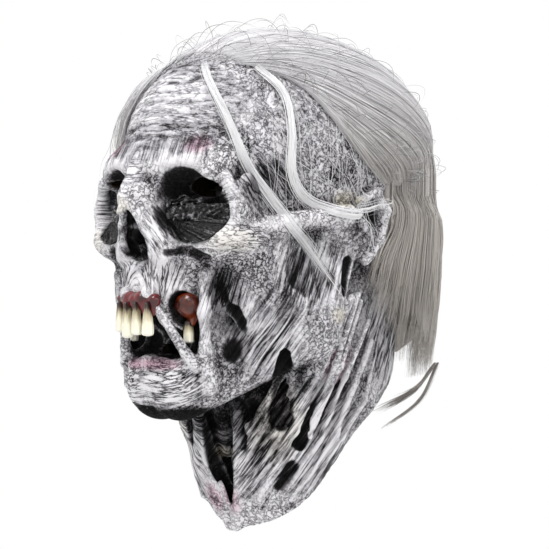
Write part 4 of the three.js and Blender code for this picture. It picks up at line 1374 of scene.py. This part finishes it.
def make_hair(clay):
    rng = np.random.default_rng(11)
    grey = hair_material("grey_hair", [
        (0.0, (0.30, 0.29, 0.30)),
        (0.45, (0.64, 0.63, 0.65)),
        (1.0, (0.86, 0.85, 0.87)),
    ], 0.5, [
        (0.0, (0.08, 0.074, 0.07)),
        (0.35, (0.24, 0.22, 0.20)),
        (0.6, (0.40, 0.37, 0.34)),
        (0.9, (0.56, 0.54, 0.43)),
    ])
    white = hair_material("white_lock", [
        (0.0, (0.58, 0.57, 0.59)),
        (0.5, (0.78, 0.77, 0.79)),
        (1.0, (0.95, 0.95, 0.95)),
    ], 0.5)
    dark = hair_material("dark_hair", [
        (0.0, (0.12, 0.115, 0.115)),
        (0.6, (0.34, 0.33, 0.33)),
        (1.0, (0.60, 0.59, 0.60)),
    ], 0.5)
    crown_hair(clay, rng, grey)
    hanging_hair(clay, rng, "left_hair", 110, 150, 22, grey)
    hanging_hair(clay, rng, "back_hair", 153, 207, 16, grey)
    hanging_hair(clay, rng, "right_hair", 210, 250, 22, grey)
    make_locks(clay, rng, white)
    make_tails(rng, grey)
    make_flyaways(clay, rng, "crown_flyaways", dark, 260, (-1.0, 1.0), (0.0, 0.6), 12.0, 0.16)
    make_flyaways(clay, rng, "back_flyaways", dark, 190, (-0.9, 0.9), (0.6, 1.0), 20.0, 0.12)
    make_loose_hairs(clay, rng, "loose_hairs", white, 170, 0.6, (44, 92), (-4, 26), (-2, 40), (8, 46), 2.6)
    make_loose_hairs(clay, rng, "brow_veil", grey, 260, 0.0, (26, 52), (4, 22), (38, 50), (16, 52), 8.0)


def dress_wefts():
    """Cloth bands that the hair is sewn to, woven from fine grey thread."""
    n = Nodes("woven_band")
    split = n.add("ShaderNodeSeparateXYZ")
    n.link(n.place(), split.inputs[0])
    round_head = n.math("ARCTAN2", split.outputs[0], split.outputs[1])
    warp = n.math("SINE", n.times(round_head, 620.0), 0.0)
    weft = n.math("SINE", n.times(split.outputs[2], 5200.0), 0.0)
    weave = n.times(n.plus(n.times(warp, weft), 1.0), 0.5)
    ramp_input = n.plus(n.times(weave, 0.6), n.times(n.noise(400.0), 0.4))
    n.put(n.shader, "Base Color", n.ramp(ramp_input, [(0.2, (0.05, 0.047, 0.044)), (0.8, (0.24, 0.225, 0.21))]))
    n.put(n.shader, "Roughness", n.plus(0.7, n.times(weave, 0.2)))
    n.bump(weave, 0.0004, 0.8)
    for name in ("left_weft", "back_weft", "right_weft"):
        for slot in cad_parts[name].material_slots:
            slot.material = n.material


def make_floor():
    """A pale floor, well below the hanging mask."""
    reach, drop = 1500.0, -620.0
    corners = np.array([[x * reach, y * reach, drop] for x, y in ((-1, -1), (1, -1), (1, 1), (-1, 1))])
    floor = mesh_object("floor", corners, np.array([[0, 1, 2, 3]]), smooth_shading=False)
    n = Nodes("pale_floor")
    n.put(n.shader, "Base Color", n.ramp(n.noise(3.0), [(0.3, (0.86, 0.86, 0.86)), (0.7, (0.9, 0.9, 0.9))]))
    n.put(n.shader, "Roughness", 0.9)
    floor.data.materials.append(n.material)


def make_studio():
    """Soft light from above in front, a weaker one from the wearer's left, and a white surround."""
    area_light("key", 25, 60, 1.5, 0.7, 16)
    area_light("fill", 100, 20, 1.8, 1.0, 4)
    world = bpy.data.worlds.new("studio")
    world.use_nodes = True
    world.node_tree.nodes["Background"].inputs["Color"].default_value = (1, 1, 1, 1)
    world.node_tree.nodes["Background"].inputs["Strength"].default_value = 1.0
    bpy.context.scene.world = world
    bpy.context.scene.view_settings.view_transform = "Standard"


make_camera()
make_studio()
make_floor()
dress_wefts()
clay = sculpt_head()
stand_in(make_skin(clay), "mask", "latex", "latex_skin")
make_patches(clay)
make_gums()
make_teeth()
make_hair(clay)
